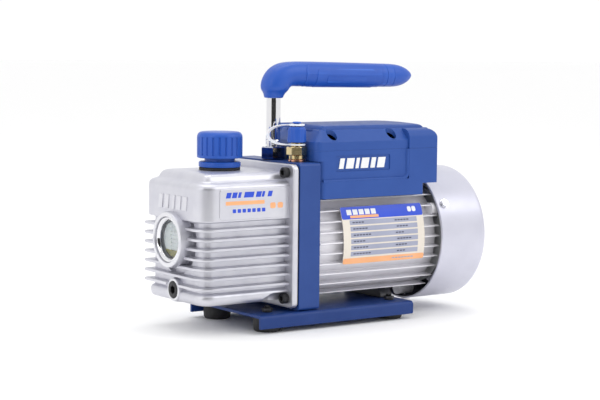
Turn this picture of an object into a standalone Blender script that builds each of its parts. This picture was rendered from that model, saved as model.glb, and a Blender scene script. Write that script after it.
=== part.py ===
"""HVAC vacuum pump: a rotary-vane pump in an oil tank, driven by an air-cooled motor.

Millimetres throughout, turned into metres when a mesh is made. +X runs from the oil tank's
sight glass to the motor's fan cover, -Y is the side with the name plate, and z = 0 is the floor.
"""

import math

import bpy
import bmesh

MM = 0.001

# Base plate and feet
BASE_FRONT, BASE_REAR = -90.4, 64.7
BASE_HALF_WIDTH = 53.3
BASE_TOP, BASE_LIP = 15.1, 4.3
BASE_SHEET = 2.5
BASE_FRONT_CORNER, BASE_REAR_CORNER = 1.5, 1.5
FOOT_X = (-73.5, 50.6)
FOOT_Y = 37.5
FOOT_RADIUS = 11.5
STUD_RADIUS = 2.5

# Blue pump bracket that stands between the tank and the motor
BRACKET_FRONT, BRACKET_REAR = -51.1, -31.0
BRACKET_HALF_WIDTH = 49.9
BRACKET_BOTTOM, BRACKET_TOP = 15.4, 134.8

# Shaft line
SHAFT_Z = 66.6
SHAFT_RADIUS = 8.0
BEARING_BORE, BEARING_RADIUS = 8.2, 15.5

# Oil tank
FLANGE_FRONT, FLANGE_REAR = -57.6, -52.3
FLANGE_BOTTOM, FLANGE_TOP = 17.6, 133.7
TANK_HALF_WIDTH = 44.4
TANK_FRONT = -140.3
TANK_NEAR_CORNER, TANK_FAR_CORNER = 14.0, 10.5
FIN_FAR_CORNER = 1.5
FIN_STEP = 7.72
FIN_Z = tuple(37.7 + FIN_STEP * i for i in range(7))
FIN_HALF = 1.2
FIN_DEPTH = 5.5
TANK_ROOF = 128.0
BOLT_Y, BOLT_HIGH, BOLT_LOW = 41.5, 127.2, 25.6
SIGHT_Z, SIGHT_FRONT, SIGHT_RADIUS = 74.0, -145.6, 22.3
DRAIN_Z = 33.5

# Exhaust cap, which is also the oil filler
CAP_X = -95.7
CAP_RADIUS, CAP_TOP = 18.4, 158.9
CAP_GROOVES = 22

# Handle
POST_X, POST_RADIUS = -43.5, 5.9
NUT_BOTTOM, NUT_TOP, NUT_FLAT = 135.1, 145.4, 9.4
NUT_TURN = 24.7
GRIP_HALF_WIDTH = 12.5

# Intake fitting
INTAKE_X, INTAKE_Y = -42.0, -31.5
INTAKE_FLAT, INTAKE_TURN = 7.1, -5.3
STRAP_HALF_WIDTH, STRAP_HALF_THICKNESS, STRAP_TWIST = 1.8, 0.4, 50.0

# Motor
MOTOR_FRONT, MOTOR_REAR = -30.7, 94.0
CORE_RADIUS, HOUSING_BORE = 44.5, 41.5
FIN_TOP, FIN_PITCH, FIN_COUNT = 36.2, 8.6, 10
MOTOR_FIN_HALF = 0.8
FIN_REACH, FIN_ARC, FIN_LIMIT = 51.0, 68.0, 53.5
COVER_FRONT, COVER_REAR, COVER_RADIUS = 91.4, 145.6, 57.6
COVER_WALL = 1.6
# How far each ring of the cover's rounded rear stands in front of its end, and its share of the radius
COVER_CURVE = ((9.0, 1.0), (5.7, 0.984), (3.0, 0.937), (1.1, 0.863), (0.3, 0.793), (0.0, 0.712))
COVER_SCREW_X = 99.1
COVER_SCREW_ANGLES = (-150, -30, 90)
EAR_RADIUS = 5.0

# Terminal box on top of the motor
BOX_FRONT, BOX_NOSE, BOX_REAR = -30.7, -33.5, 90.7
BOX_HALF_WIDTH, BOX_PANEL = 50.1, 48.4
BOX_BOTTOM, BOX_SEAM, BOX_ROOF = 104.8, 143.8, 160.4
BOX_WALL = 2.6
BOX_CORNER, BOX_NEAR_CORNER = 3.0, 5.5
BOX_HUMP = 60.5
BOX_SCREW_X = (-15.3, 46.0)
BOX_SCREW_Y = 42.6
INLET_X, SWITCH_X, PANEL_Z = 24.0, 72.0, 131.0
ROCKER_LEAN = 9.0

COLOURS = {
    "blue_paint": ((0.035, 0.115, 0.36), 0.35, 0.45),
    "blue_plastic": ((0.035, 0.13, 0.42), 0.0, 0.42),
    "bright_blue_plastic": ((0.02, 0.12, 0.58), 0.0, 0.38),
    "cast_aluminium": ((0.62, 0.62, 0.66), 0.8, 0.42),
    "silver_paint": ((0.60, 0.60, 0.64), 0.5, 0.38),
    "chrome": ((0.80, 0.80, 0.82), 1.0, 0.10),
    "steel": ((0.52, 0.52, 0.54), 1.0, 0.32),
    "black_steel": ((0.03, 0.03, 0.035), 0.6, 0.38),
    "brass": ((0.78, 0.60, 0.30), 1.0, 0.26),
    "copper": ((0.80, 0.42, 0.28), 1.0, 0.30),
    "rubber": ((0.02, 0.02, 0.022), 0.0, 0.75),
    "white_plastic": ((0.85, 0.85, 0.86), 0.0, 0.40),
    "glass": ((0.90, 0.94, 0.93), 0.0, 0.05),
    "label": ((0.86, 0.85, 0.78), 0.0, 0.45),
    "red_plastic": ((0.60, 0.04, 0.03), 0.0, 0.35),
}

materials = {}


def material(slot):
    """One Principled material per slot, made the first time it is asked for."""
    if slot not in materials:
        colour, metallic, roughness = COLOURS[slot]
        made = bpy.data.materials.new(slot)
        made.use_nodes = True
        shader = made.node_tree.nodes["Principled BSDF"]
        shader.inputs["Base Color"].default_value = (*colour, 1.0)
        shader.inputs["Metallic"].default_value = metallic
        shader.inputs["Roughness"].default_value = roughness
        materials[slot] = made
    return materials[slot]


def clear_scene():
    for obj in list(bpy.data.objects):
        bpy.data.objects.remove(obj, do_unlink=True)


# ---- solids -------------------------------------------------------------------------------


def solid(name, rings, loop=False):
    """A closed body through rings of equal length. A loop joins its last ring to its first."""
    mesh = bpy.data.meshes.new(name)
    work = bmesh.new()
    rows = [[work.verts.new([MM * value for value in point]) for point in ring] for ring in rings]
    count = len(rows[0])
    pairs = list(zip(rows, rows[1:]))
    if loop:
        pairs.append((rows[-1], rows[0]))
    else:
        work.faces.new(rows[0])
        work.faces.new(rows[-1])
    for low, high in pairs:
        for i in range(count):
            j = (i + 1) % count
            work.faces.new((low[i], low[j], high[j], high[i]))
    bmesh.ops.recalc_face_normals(work, faces=work.faces)
    work.to_mesh(mesh)
    work.free()
    obj = bpy.data.objects.new(name, mesh)
    bpy.context.scene.collection.objects.link(obj)
    return obj


def place(axis, a, b, t):
    """The point at (a, b) in the plane across an axis, and t along it."""
    if axis == "X":
        return (t, a, b)
    if axis == "Y":
        return (a, t, b)
    return (a, b, t)


def prism(name, outline, axis, low, high):
    return solid(name, [[place(axis, a, b, t) for a, b in outline] for t in (low, high)])


def box(name, x, y, z):
    return prism(name, [(x[0], y[0]), (x[1], y[0]), (x[1], y[1]), (x[0], y[1])], "Z", *z)


def hexagon(angle):
    """Radius of a hexagon across this angle, for an across-flats radius of one."""
    return 1 / math.cos((angle + math.pi / 6) % (math.pi / 3) - math.pi / 6)


def turned(name, profile, axis, centre, steps=32, loop=False, turn=0.0):
    """A turned body. The profile lists (distance along the axis, radius[, shape of the ring])."""
    start = math.radians(turn)
    rings = []
    for along, radius, *shape in profile:
        ring = []
        for i in range(steps):
            angle = 2 * math.pi * i / steps
            reach = radius * (shape[0](angle) if shape else 1)
            a = centre[0] + reach * math.cos(angle + start)
            b = centre[1] + reach * math.sin(angle + start)
            ring.append(place(axis, a, b, along))
        rings.append(ring)
    return solid(name, rings, loop)


def tube(name, axis, centre, low, high, outer, inner, steps=32):
    profile = [(low, outer), (high, outer), (high, inner), (low, inner)]
    return turned(name, profile, axis, centre, steps, loop=True)


def rod(name, axis, centre, low, high, radius, steps=24):
    return turned(name, [(low, radius), (high, radius)], axis, centre, steps)


def arc(centre, radius, start, end, steps):
    """Points from one angle to another, in degrees, both ends included."""
    points = []
    for i in range(steps + 1):
        angle = math.radians(start + (end - start) * i / steps)
        points.append((centre[0] + radius * math.cos(angle), centre[1] + radius * math.sin(angle)))
    return points


def rounded(a, b, radius, steps=4):
    """A rectangle from a[0] to a[1] and b[0] to b[1] with rounded corners."""
    corners = ((a[1], b[1], 0), (a[0], b[1], 90), (a[0], b[0], 180), (a[1], b[0], 270))
    outline = []
    for x, y, start in corners:
        inward_x = x - radius if x == a[1] else x + radius
        inward_y = y - radius if y == b[1] else y + radius
        outline += arc((inward_x, inward_y), radius, start, start + 90, steps)
    return outline


def boolean(body, tools, operation):
    """Cuts the tools from the body, or adds them to it, and removes the tools."""
    for tool in tools:
        step = body.modifiers.new(operation, "BOOLEAN")
        step.operation = operation
        step.solver = "EXACT"
        step.object = tool
    bpy.context.view_layer.update()
    evaluated = body.evaluated_get(bpy.context.evaluated_depsgraph_get())
    mesh = bpy.data.meshes.new_from_object(evaluated)
    body.modifiers.clear()
    body.data = mesh
    for tool in tools:
        bpy.data.objects.remove(tool, do_unlink=True)
    return body


def cut(body, *tools):
    return boolean(body, tools, "DIFFERENCE")


def join(body, *tools):
    return boolean(body, tools, "UNION")


def finish(obj, slot):
    """Gives the body its material."""
    obj.data.materials.clear()
    obj.data.materials.append(material(slot))
    return obj


# ---- base ---------------------------------------------------------------------------------


def make_base_plate():
    """A sheet folded down along both long sides, standing on the feet."""
    front, rear = BASE_FRONT_CORNER, BASE_REAR_CORNER
    side = [(BASE_FRONT, BASE_TOP), (BASE_FRONT, BASE_LIP + front), (BASE_FRONT + front, BASE_LIP)]
    side += [*arc((BASE_REAR - rear, BASE_LIP + rear), rear, 270, 360, 3), (BASE_REAR, BASE_TOP)]
    plate = prism("base_plate", side, "Y", -BASE_HALF_WIDTH, BASE_HALF_WIDTH)
    inside = BASE_HALF_WIDTH - BASE_SHEET
    holes = [rod("hole", "Z", at, 0, 20, STUD_RADIUS + 0.3, 12) for at in foot_places()]
    cut(plate, box("hollow", (-100, 100), (-inside, inside), (0, BASE_TOP - BASE_SHEET)))
    cut(plate, *holes)
    finish(plate, "blue_paint")


def foot_places():
    return [(x, y) for x in FOOT_X for y in (-FOOT_Y, FOOT_Y)]


def make_feet():
    profile = [(0, 10.4), (1.2, 11.2), (4.5, FOOT_RADIUS), (12.3, FOOT_RADIUS)]
    stud = [(4.6, STUD_RADIUS), (15.4, STUD_RADIUS), (15.4, 4.0, hexagon), (18.6, 4.0, hexagon)]
    stud += [(18.6, STUD_RADIUS), (20.2, STUD_RADIUS)]
    for number, at in enumerate(foot_places(), 1):
        foot = turned(f"foot_{number}", profile, "Z", at, 20)
        cut(foot, rod("socket", "Z", at, 4.3, 20, STUD_RADIUS + 0.2, 12))
        finish(foot, "rubber")
        finish(turned(f"foot_stud_{number}", stud, "Z", at, 12), "steel")


def make_rear_support():
    outline = [(-26, 15.4), (26, 15.4), (26, 18), (22, 24), (-22, 24), (-26, 18)]
    support = prism("rear_motor_support", outline, "X", 50.5, 63)
    cut(support, rod("saddle", "X", (0, SHAFT_Z), 40, 70, CORE_RADIUS + 0.3, 64))
    finish(support, "cast_aluminium")


# ---- bracket ------------------------------------------------------------------------------


def make_bracket():
    outline = rounded((-BRACKET_HALF_WIDTH, BRACKET_HALF_WIDTH), (BRACKET_BOTTOM, BRACKET_TOP), 3.0, 3)
    bracket = prism("pump_bracket", outline, "X", BRACKET_FRONT, BRACKET_REAR)
    centre = (0, SHAFT_Z)
    tools = [
        rod("shaft_bore", "X", centre, -60, -20, 9.0, 24),
        rod("bearing_seat", "X", centre, -40.2, -20, BEARING_RADIUS + 0.2, 24),
        rod("post_bore", "Z", (POST_X, 0), 117.5, 140, POST_RADIUS + 0.2, 24),
        rod("intake_bore", "Z", (INTAKE_X, INTAKE_Y), 122, 140, 5.2, 24),
    ]
    tools += [rod("bolt_bore", "X", at, -60, -38, 2.8, 10) for at in bolt_places()]
    finish(cut(bracket, *tools), "blue_paint")


def bolt_places():
    return [(y, z) for z in (BOLT_LOW, BOLT_HIGH) for y in (-BOLT_Y, BOLT_Y)]


def make_tank_gasket():
    outline = rounded((-48.9, 48.9), (18.6, 132.7), 4, 3)
    gasket = prism("tank_gasket", outline, "X", -52.2, -51.2)
    opening = prism("opening", rounded((-35.5, 35.5), (29, 118), 6, 3), "X", -60, -40)
    holes = [rod("hole", "X", at, -60, -40, 2.9, 10) for at in bolt_places()]
    finish(cut(gasket, opening, *holes), "rubber")


# ---- oil tank -----------------------------------------------------------------------------


def plan(inset, far_corner=None, rear=-54.6):
    """The tank seen from above, drawn in by an inset, from the flange round the front."""
    half = TANK_HALF_WIDTH - inset
    front = TANK_FRONT + inset
    near = max(TANK_NEAR_CORNER - inset, 5.0)
    far = max(TANK_FAR_CORNER - inset, 4.0) if far_corner is None else far_corner
    outline = [(rear, half), *arc((front + far, half - far), far, 90, 180, 4)]
    return outline + [*arc((front + near, near - half), near, 180, 270, 4), (rear, -half)]


def tank_rings():
    """Rings from the sump up: rounded floor, seven fins, smooth block, narrower roof."""
    rings = [(24.2, 4.5, None), (26.2, 2.2, None), (30.8, 1.6, None), (34.2, FIN_DEPTH, None)]
    for z in FIN_Z:
        rings += [(z - FIN_HALF, 0.0, FIN_FAR_CORNER), (z + FIN_HALF, 0.0, FIN_FAR_CORNER)]
        if z != FIN_Z[-1]:
            low, high = z + FIN_HALF + 0.6, z + FIN_STEP - FIN_HALF - 0.6
            rings += [(low, FIN_DEPTH, None), (high, FIN_DEPTH, None)]
    rings += [(85.8, FIN_DEPTH, None), (89.8, FIN_DEPTH, None), (90.9, 0.0, None), (115.8, 0.0, None)]
    rings += [(119.0, 1.6, None), (120.8, 5.6, None), (121.8, 7.6, None), (125.2, 9.2, None)]
    rings += [(127.3, 11.2, None), (TANK_ROOF, 14.6, None)]
    return [[(x, y, z) for x, y in plan(inset, far)] for z, inset, far in rings]


def make_oil_tank():
    tank = solid("oil_tank", tank_rings())
    flange = rounded((-BRACKET_HALF_WIDTH, BRACKET_HALF_WIDTH), (FLANGE_BOTTOM, FLANGE_TOP), 5, 4)
    drain, sight, cap = (0, DRAIN_Z), (0, SIGHT_Z), (CAP_X, 0)
    join(
        tank,
        prism("flange", flange, "X", FLANGE_FRONT, FLANGE_REAR),
        turned("bezel", [(-132, 23.2), (-144.6, SIGHT_RADIUS), (SIGHT_FRONT, 21.5)], "X", sight, 36),
        turned("drain_boss", [(-130, 10.2), (-138.4, 9.4), (-139.2, 8.7)], "X", drain, 20),
    )
    heights = ((29.6, 10.6), (112, 10.6), (123.4, 15))
    cut(tank, solid("inside", [[(x, y, z) for x, y in plan(inset, rear=-48)] for z, inset in heights]))
    join(tank, rod("cap_boss", "Z", cap, 117.2, 126, 13.5, 20))
    tools = [
        rod("cap_bore", "Z", cap, 100, 140, 10.2, 20),
        turned("glass_seat", [(-150, 18.2), (-138.6, 18.2), (-138.6, 14.6), (-125, 14.6)], "X", sight, 36),
        turned("drain_bore", [(-145, 7.2), (-131.2, 7.2), (-131.2, 4.3), (-120, 4.3)], "X", drain, 16),
        rod("drain_face", "X", drain, -150, -139.25, 9.8, 20),
    ]
    tools += [rod("bolt_bore", "X", at, -70, -50, 2.8, 10) for at in bolt_places()]
    for y in (-BOLT_Y, BOLT_Y):
        tools.append(rod("bolt_pocket", "X", (y, BOLT_LOW), -74, FLANGE_FRONT, 5.6, 16))
    finish(cut(tank, *tools), "cast_aluminium")


def make_tank_bolts():
    for number, at in enumerate(bolt_places(), 1):
        profile = [(-60.6, 2.1, hexagon), (-63.0, 2.1, hexagon), (-63.0, 3.8), (-62.6, 4.25), (-57.9, 4.25)]
        profile += [(-57.9, 2.5), (-39.5, 2.5)]
        finish(turned(f"tank_bolt_{number}", profile, "X", at, 12), "black_steel")


def make_sight_glass():
    centre = (0, SIGHT_Z)
    lens = turned("sight_glass_lens", [(-138.9, 17.9), (-141.6, 17.9)], "X", centre, 32)
    finish(lens, "glass")
    ring = [(-141.9, 17.9), (-144.4, 17.9), (-144.4, 16.4), (-143.2, 15.0), (-141.9, 15.0)]
    finish(turned("sight_glass_ring", ring, "X", centre, 32, loop=True), "chrome")
    back = [(-138.2, 14.2), (-135.4, 14.2), (-134.6, 13.4)]
    reflector = turned("sight_glass_reflector", back, "X", centre, 24)
    grooves = [box("line", (-139, -137.5), (-9, 9), (z, z + 1.0)) for z in range(66, 82, 3)]
    finish(cut(reflector, *grooves), "white_plastic")


def make_drain_plug():
    profile = [(-136.0, 3.0, hexagon), (-139.7, 3.0, hexagon), (-139.7, 6.3), (-139.2, 7.0), (-131.5, 7.0)]
    profile += [(-131.5, 4.0), (-125.5, 4.0)]
    finish(turned("drain_plug", profile, "X", (0, DRAIN_Z), 12), "black_steel")


# ---- exhaust cap --------------------------------------------------------------------------


def knob_ribs(angle):
    """Narrow grooves cut into the knob's rim, four points to a rib."""
    turn = (angle / (2 * math.pi) * CAP_GROOVES) % 1
    return 0.94 if 0.1 < turn < 0.4 else 1.0


def make_exhaust_cap():
    centre = (CAP_X, 0)
    finish(tube("cap_gasket", "Z", centre, 128.3, 130.2, 16.7, 10.6, 24), "rubber")
    stem = [(119, 9.6), (130.4, 9.6), (130.4, 16.6), (131.0, 17.0), (134.2, 17.0), (134.9, 16.2)]
    stem += [(134.9, 12.3), (155.3, 12.3), (155.3, 6.2), (119, 6.2)]
    finish(turned("exhaust_cap_stem", stem, "Z", centre, 24, loop=True), "bright_blue_plastic")
    outside = [(137.8, CAP_RADIUS), (140.2, CAP_RADIUS), (140.4, CAP_RADIUS, knob_ribs)]
    outside += [(154.8, CAP_RADIUS, knob_ribs), (155.2, CAP_RADIUS), (CAP_TOP, 16.2)]
    hood = turned("exhaust_cap_hood", outside, "Z", centre, 4 * CAP_GROOVES)
    hollow = tube("hollow", "Z", centre, 130, 155.6, 15.4, 5.9, 24)
    shorten = rod("shorten", "Z", centre, 130, 148, 10, 24)
    finish(cut(hood, hollow, shorten), "bright_blue_plastic")


# ---- handle -------------------------------------------------------------------------------


def grip_ring(inner, outer, half_width, count=16):
    """A rounded section between two points of the grip's side view."""
    middle = [(a + b) / 2 for a, b in zip(inner, outer)]
    reach = [(b - a) / 2 for a, b in zip(inner, outer)]
    ring = []
    for i in range(count):
        angle = 2 * math.pi * i / count
        lift = math.copysign(abs(math.cos(angle)) ** 0.75, math.cos(angle))
        side = math.copysign(abs(math.sin(angle)) ** 0.75, math.sin(angle))
        ring.append((middle[0] + reach[0] * lift, half_width * side, middle[1] + reach[1] * lift))
    return ring


def make_grip():
    wide = GRIP_HALF_WIDTH
    sections = [
        ((-35.6, 185.2), (-51.4, 185.2), 8.0),
        ((-34.6, 188.3), (-51.8, 188.9), 8.8),
        ((-32.2, 191.3), (-53.5, 191.9), 11.2),
        ((-31.2, 193.0), (-53.7, 197.0), 12.0),
        ((-30.4, 193.8), (-51.2, 203.6), wide),
        ((-29.4, 194.4), (-46.0, 210.0), wide),
        ((-28.0, 194.8), (-38.4, 214.2), wide),
        ((-25.0, 194.9), (-29.0, 215.5), wide),
        ((-12.0, 194.8), (-12.0, 215.4), wide),
        ((52.0, 194.0), (52.0, 214.2), wide),
        ((80.5, 193.7), (80.5, 213.6), wide),
        ((88.0, 195.2), (88.6, 211.6), 10.8),
        ((94.4, 198.6), (95.2, 208.4), 7.4),
        ((98.6, 202.8), (99.0, 205.2), 2.4),
    ]
    grip = solid("handle_grip", [grip_ring(*section) for section in sections])
    cut(grip, rod("post_socket", "Z", (POST_X, 0), 180, 201.6, POST_RADIUS + 0.2, 20))
    finish(grip, "bright_blue_plastic")


def make_post():
    profile = [(118, 5.2), (119, POST_RADIUS), (200.2, POST_RADIUS), (201.2, 5.2)]
    finish(turned("handle_post", profile, "Z", (POST_X, 0), 20), "chrome")
    bore = POST_RADIUS + 0.2
    nut = [(NUT_BOTTOM, NUT_FLAT, hexagon), (NUT_TOP, NUT_FLAT, hexagon), (NUT_TOP, bore), (NUT_BOTTOM, bore)]
    finish(turned("handle_nut", nut, "Z", (POST_X, 0), 24, loop=True, turn=NUT_TURN), "chrome")


# ---- intake -------------------------------------------------------------------------------


def cap_ribs(angle):
    return 1.0 if (angle / (2 * math.pi) * 12) % 1 < 0.5 else 0.95


def make_intake():
    centre = (INTAKE_X, INTAKE_Y)
    finish(tube("intake_washer", "Z", centre, 135.1, 136.7, 6.9, 5.3, 28), "copper")
    body = [(122.6, 5.0), (136.9, 5.0), (136.9, 6.4), (140.2, 6.4)]
    body += [(140.4, INTAKE_FLAT, hexagon), (147, INTAKE_FLAT, hexagon)]
    body += [(147.2, 4.4), (150.2, 4.4), (150.2, 5.2), (160, 5.2), (160, 2.2), (122.6, 2.2)]
    finish(turned("intake_fitting", body, "Z", centre, 24, loop=True, turn=INTAKE_TURN), "brass")
    cap = [(150.6, 7.4), (151.6, 7.7, cap_ribs), (160.6, 7.4, cap_ribs), (162.6, 6.5), (163.4, 5.9)]
    cap += [(163.4, 2.4), (165.9, 2.4), (165.9, 3.6), (167.2, 3.2)]
    made = turned("dust_cap", cap, "Z", centre, 24)
    finish(cut(made, rod("thread", "Z", centre, 140, 160.4, 5.5, 24)), "bright_blue_plastic")


def make_strap():
    """A flat band, twisted as it loops from a ring under the cap to a ring on the cap's pin."""
    wide, thin = STRAP_HALF_WIDTH, STRAP_HALF_THICKNESS
    along = (-0.9, 0.436)
    middle_z, rise = 156.6, 8.0
    rings = []
    for i in range(17):
        angle = math.radians(-90 - 180 * i / 16)
        reach = 5.6 + 18.0 * abs(math.cos(angle)) ** 0.8
        z = middle_z + rise * math.sin(angle)
        out = (math.cos(angle), math.sin(angle))
        twist = math.radians(STRAP_TWIST) * math.sin(math.pi * i / 16)
        ring = []
        for across, through in ((-wide, -thin), (wide, -thin), (wide, thin), (-wide, thin)):
            side = across * math.cos(twist) - through * math.sin(twist)
            lift = across * math.sin(twist) + through * math.cos(twist)
            far = reach - lift * out[0]
            ring.append((
                INTAKE_X + along[0] * far - along[1] * side,
                INTAKE_Y + along[1] * far + along[0] * side,
                z + lift * out[1],
            ))
        rings.append(ring)
    strap = solid("dust_cap_strap", rings)
    centre = (INTAKE_X, INTAKE_Y)
    lower = tube("lower_ring", "Z", centre, 148.0, 149.4, 6.9, 4.7, 24)
    upper = tube("upper_ring", "Z", centre, 163.9, 165.3, 6.4, 2.8, 24)
    finish(join(strap, lower, upper), "white_plastic")


# ---- pump module --------------------------------------------------------------------------


def make_pump_module():
    centre, bore_centre = (0, SHAFT_Z), (0, SHAFT_Z + 3)
    cylinder = rod("pump_cylinder", "X", (0, SHAFT_Z + 1), -91.9, -51.4, 28.5, 32)
    cut(cylinder, rod("bore", "X", bore_centre, -100, -58, 20.0, 36))
    cut(cylinder, rod("shaft_bore", "X", centre, -70, -40, 8.3, 20))
    finish(cylinder, "steel")
    finish(rod("pump_end_plate", "X", (0, SHAFT_Z + 1), -97.4, -92.2, 28.5, 32), "steel")
    rotor = tube("pump_rotor", "X", centre, -91.4, -58.5, 16.7, 8.2, 28)
    slots = [box("slot", (-95, -50), (-1.6, 1.6), span) for span in slot_spans(9.6, 20)]
    finish(cut(rotor, *slots), "steel")
    for number, span in enumerate(slot_spans(10.0, 16.5), 1):
        finish(box(f"vane_{number}", (-91.3, -58.6), (-1.3, 1.3), span), "black_steel")


def slot_spans(inner, outer):
    """The heights of the two slots, above and below the shaft line."""
    return (SHAFT_Z + inner, SHAFT_Z + outer), (SHAFT_Z - outer, SHAFT_Z - inner)


# ---- motor --------------------------------------------------------------------------------


def fin_tip(height):
    """Half-width of the fins at a height above the shaft line."""
    bulge = FIN_REACH - FIN_ARC + math.sqrt(FIN_ARC**2 - height**2)
    return min(bulge, math.sqrt(FIN_LIMIT**2 - height**2))


def housing_side():
    """Points up one side of the housing: the round core with flat fins standing out of it."""
    heights = [FIN_TOP - FIN_PITCH * i for i in reversed(range(FIN_COUNT))]
    side = []
    for height in heights:
        for z in (height - MOTOR_FIN_HALF, height + MOTOR_FIN_HALF):
            root = math.sqrt(CORE_RADIUS**2 - z**2)
            tip = fin_tip(abs(height) + MOTOR_FIN_HALF)
            side += [(root, z), (tip, z)] if z < height else [(tip, z), (root, z)]
        middle = height + FIN_PITCH / 2
        if height != heights[-1]:
            side.append((math.sqrt(CORE_RADIUS**2 - middle**2), middle))
    return side


def make_housing():
    right = housing_side()
    top = arc((0, 0), CORE_RADIUS, 56, 124, 8)
    bottom = arc((0, 0), CORE_RADIUS, 252, 288, 5)
    outline = right + top + [(-y, z) for y, z in reversed(right)] + bottom
    outline = [(y, z + SHAFT_Z) for y, z in outline]
    housing = prism("motor_housing", outline, "X", MOTOR_FRONT, MOTOR_REAR)
    cut(housing, rod("bore", "X", (0, SHAFT_Z), -40, 100, HOUSING_BORE, 64))
    ears = []
    for angle in COVER_SCREW_ANGLES:
        y, z = math.cos(math.radians(angle)), -math.sin(math.radians(angle))
        ears.append(rod("ear", "X", (y * 49.4, SHAFT_Z + z * 49.4), 88.5, 104.0, EAR_RADIUS, 20))
    join(housing, *ears)
    holes = [radial_rod(angle, COVER_SCREW_X, 46.5, 60, 1.9, 12) for angle in COVER_SCREW_ANGLES]
    finish(cut(housing, *holes), "cast_aluminium")


def radial_rod(angle, x, low, high, radius, steps):
    """A rod square to the shaft line, at an angle measured about it, between two radii."""
    return turn_about_shaft(rod("radial", "Y", (x, SHAFT_Z), low, high, radius, steps), angle)


def turn_about_shaft(obj, angle):
    """Turns a body made along +Y about the shaft line, so that it points at the angle."""
    turn = math.radians(-angle)
    for vertex in obj.data.vertices:
        y, z = vertex.co.y, vertex.co.z - SHAFT_Z * MM
        vertex.co.y = y * math.cos(turn) - z * math.sin(turn)
        vertex.co.z = y * math.sin(turn) + z * math.cos(turn) + SHAFT_Z * MM
    return obj


def make_motor_inside():
    centre = (0, SHAFT_Z)
    finish(rod("motor_shaft", "X", centre, -91.0, 116.0, SHAFT_RADIUS, 20), "steel")
    finish(tube("rotor_core", "X", centre, 0, 60, 27.0, 8.2, 24), "steel")
    finish(tube("stator_core", "X", centre, 0, 60, 41.2, 30.3, 32), "steel")
    coil = [(-12, 38), (-0.3, 38), (-0.3, 30), (60.3, 30), (60.3, 38), (72, 38)]
    coil += [(72, 27.5), (-12, 27.5)]
    finish(turned("stator_windings", coil, "X", centre, 28, loop=True), "copper")
    for name, low in (("bearing_front", -39.9), ("bearing_rear", 80.3)):
        finish(tube(name, "X", centre, low, low + 9, BEARING_RADIUS, BEARING_BORE, 24), "steel")
    seat = BEARING_RADIUS + 0.2
    shield = [(80, 41.2), (87, 41.2), (87, 24), (90.4, 21), (90.4, 9.5), (89.6, 9.5), (89.6, seat)]
    shield += [(80, seat)]
    finish(turned("rear_end_shield", shield, "X", centre, 32, loop=True), "cast_aluminium")


def make_fan():
    profile = [(104.6, 44.0), (107.0, 44.0), (107.0, 17.0), (116.5, 16.4), (116.5, 8.2), (104.6, 8.2)]
    fan = turned("cooling_fan", profile, "X", (0, SHAFT_Z), 28, loop=True)
    blades = []
    for i in range(6):
        blade = box("blade", (106, 122), (15, 43), (SHAFT_Z - 0.9, SHAFT_Z + 0.9))
        blades.append(turn_about_shaft(blade, 60 * i + 4))
    finish(join(fan, *blades), "white_plastic")


def make_fan_cover():
    out, wall, rear = COVER_RADIUS, COVER_WALL, COVER_REAR
    profile = [(COVER_FRONT, out)]
    profile += [(rear - back, out * part) for back, part in COVER_CURVE]
    profile += [(rear, 8), (rear - wall, 8)]
    profile += [(rear - wall - back, out * part - wall) for back, part in reversed(COVER_CURVE)]
    profile += [(COVER_FRONT, out - wall)]
    cover = turned("fan_cover", profile, "X", (0, SHAFT_Z), 48, loop=True)
    slots = []
    for radius, length, count in ((20, 12, 8), (38, 14, 12)):
        for i in range(count):
            span = (radius - length / 2, radius + length / 2)
            slot = box("slot", (130, 150), span, (SHAFT_Z - 1.6, SHAFT_Z + 1.6))
            slots.append(turn_about_shaft(slot, 360 * i / count))
    slots += [radial_rod(angle, COVER_SCREW_X, 50, 60, 2.2, 12) for angle in COVER_SCREW_ANGLES]
    finish(cut(cover, *slots), "silver_paint")
    for number, angle in enumerate(COVER_SCREW_ANGLES, 1):
        head = [(48, 1.7), (57.9, 1.7), (57.9, 3.4, hexagon), (60.4, 3.4, hexagon)]
        screw = turned(f"fan_cover_screw_{number}", head, "Y", (COVER_SCREW_X, SHAFT_Z), 12)
        finish(turn_about_shaft(screw, angle), "chrome")


def make_name_plate():
    """A thin plate bent over the tips of the fins."""
    centre = FIN_ARC - FIN_REACH
    outline = []
    for gap, heights in ((0.3, range(9)), (1.1, reversed(range(9)))):
        for i in heights:
            height = -16.2 + 46.5 * i / 8
            outline.append((centre - math.sqrt((FIN_ARC + gap) ** 2 - height**2), SHAFT_Z + height))
    finish(prism("name_plate", outline, "X", -8, 77), "label")


# ---- terminal box -------------------------------------------------------------------------


def box_plan(half, front, rear, inset=0.0):
    """The box seen from above, with its far front corner cut away beside the handle post."""
    front, rear, half = front + inset, rear - inset, half - inset
    corner, near = BOX_CORNER, BOX_NEAR_CORNER
    outline = [(rear, -half + corner), (rear, half - corner), (rear - corner, half)]
    outline += [(-8 + inset * 0.6, half), (front, 12 - inset * 0.4)]
    outline += arc((front + near, -half + near), near, 180, 270, 4)
    return outline + [(rear - corner, -half)]


def box_layer(name, half, front, rear, low, high, inset=0.0):
    return prism(name, box_plan(half, front, rear, inset), "Z", low, high)


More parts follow.
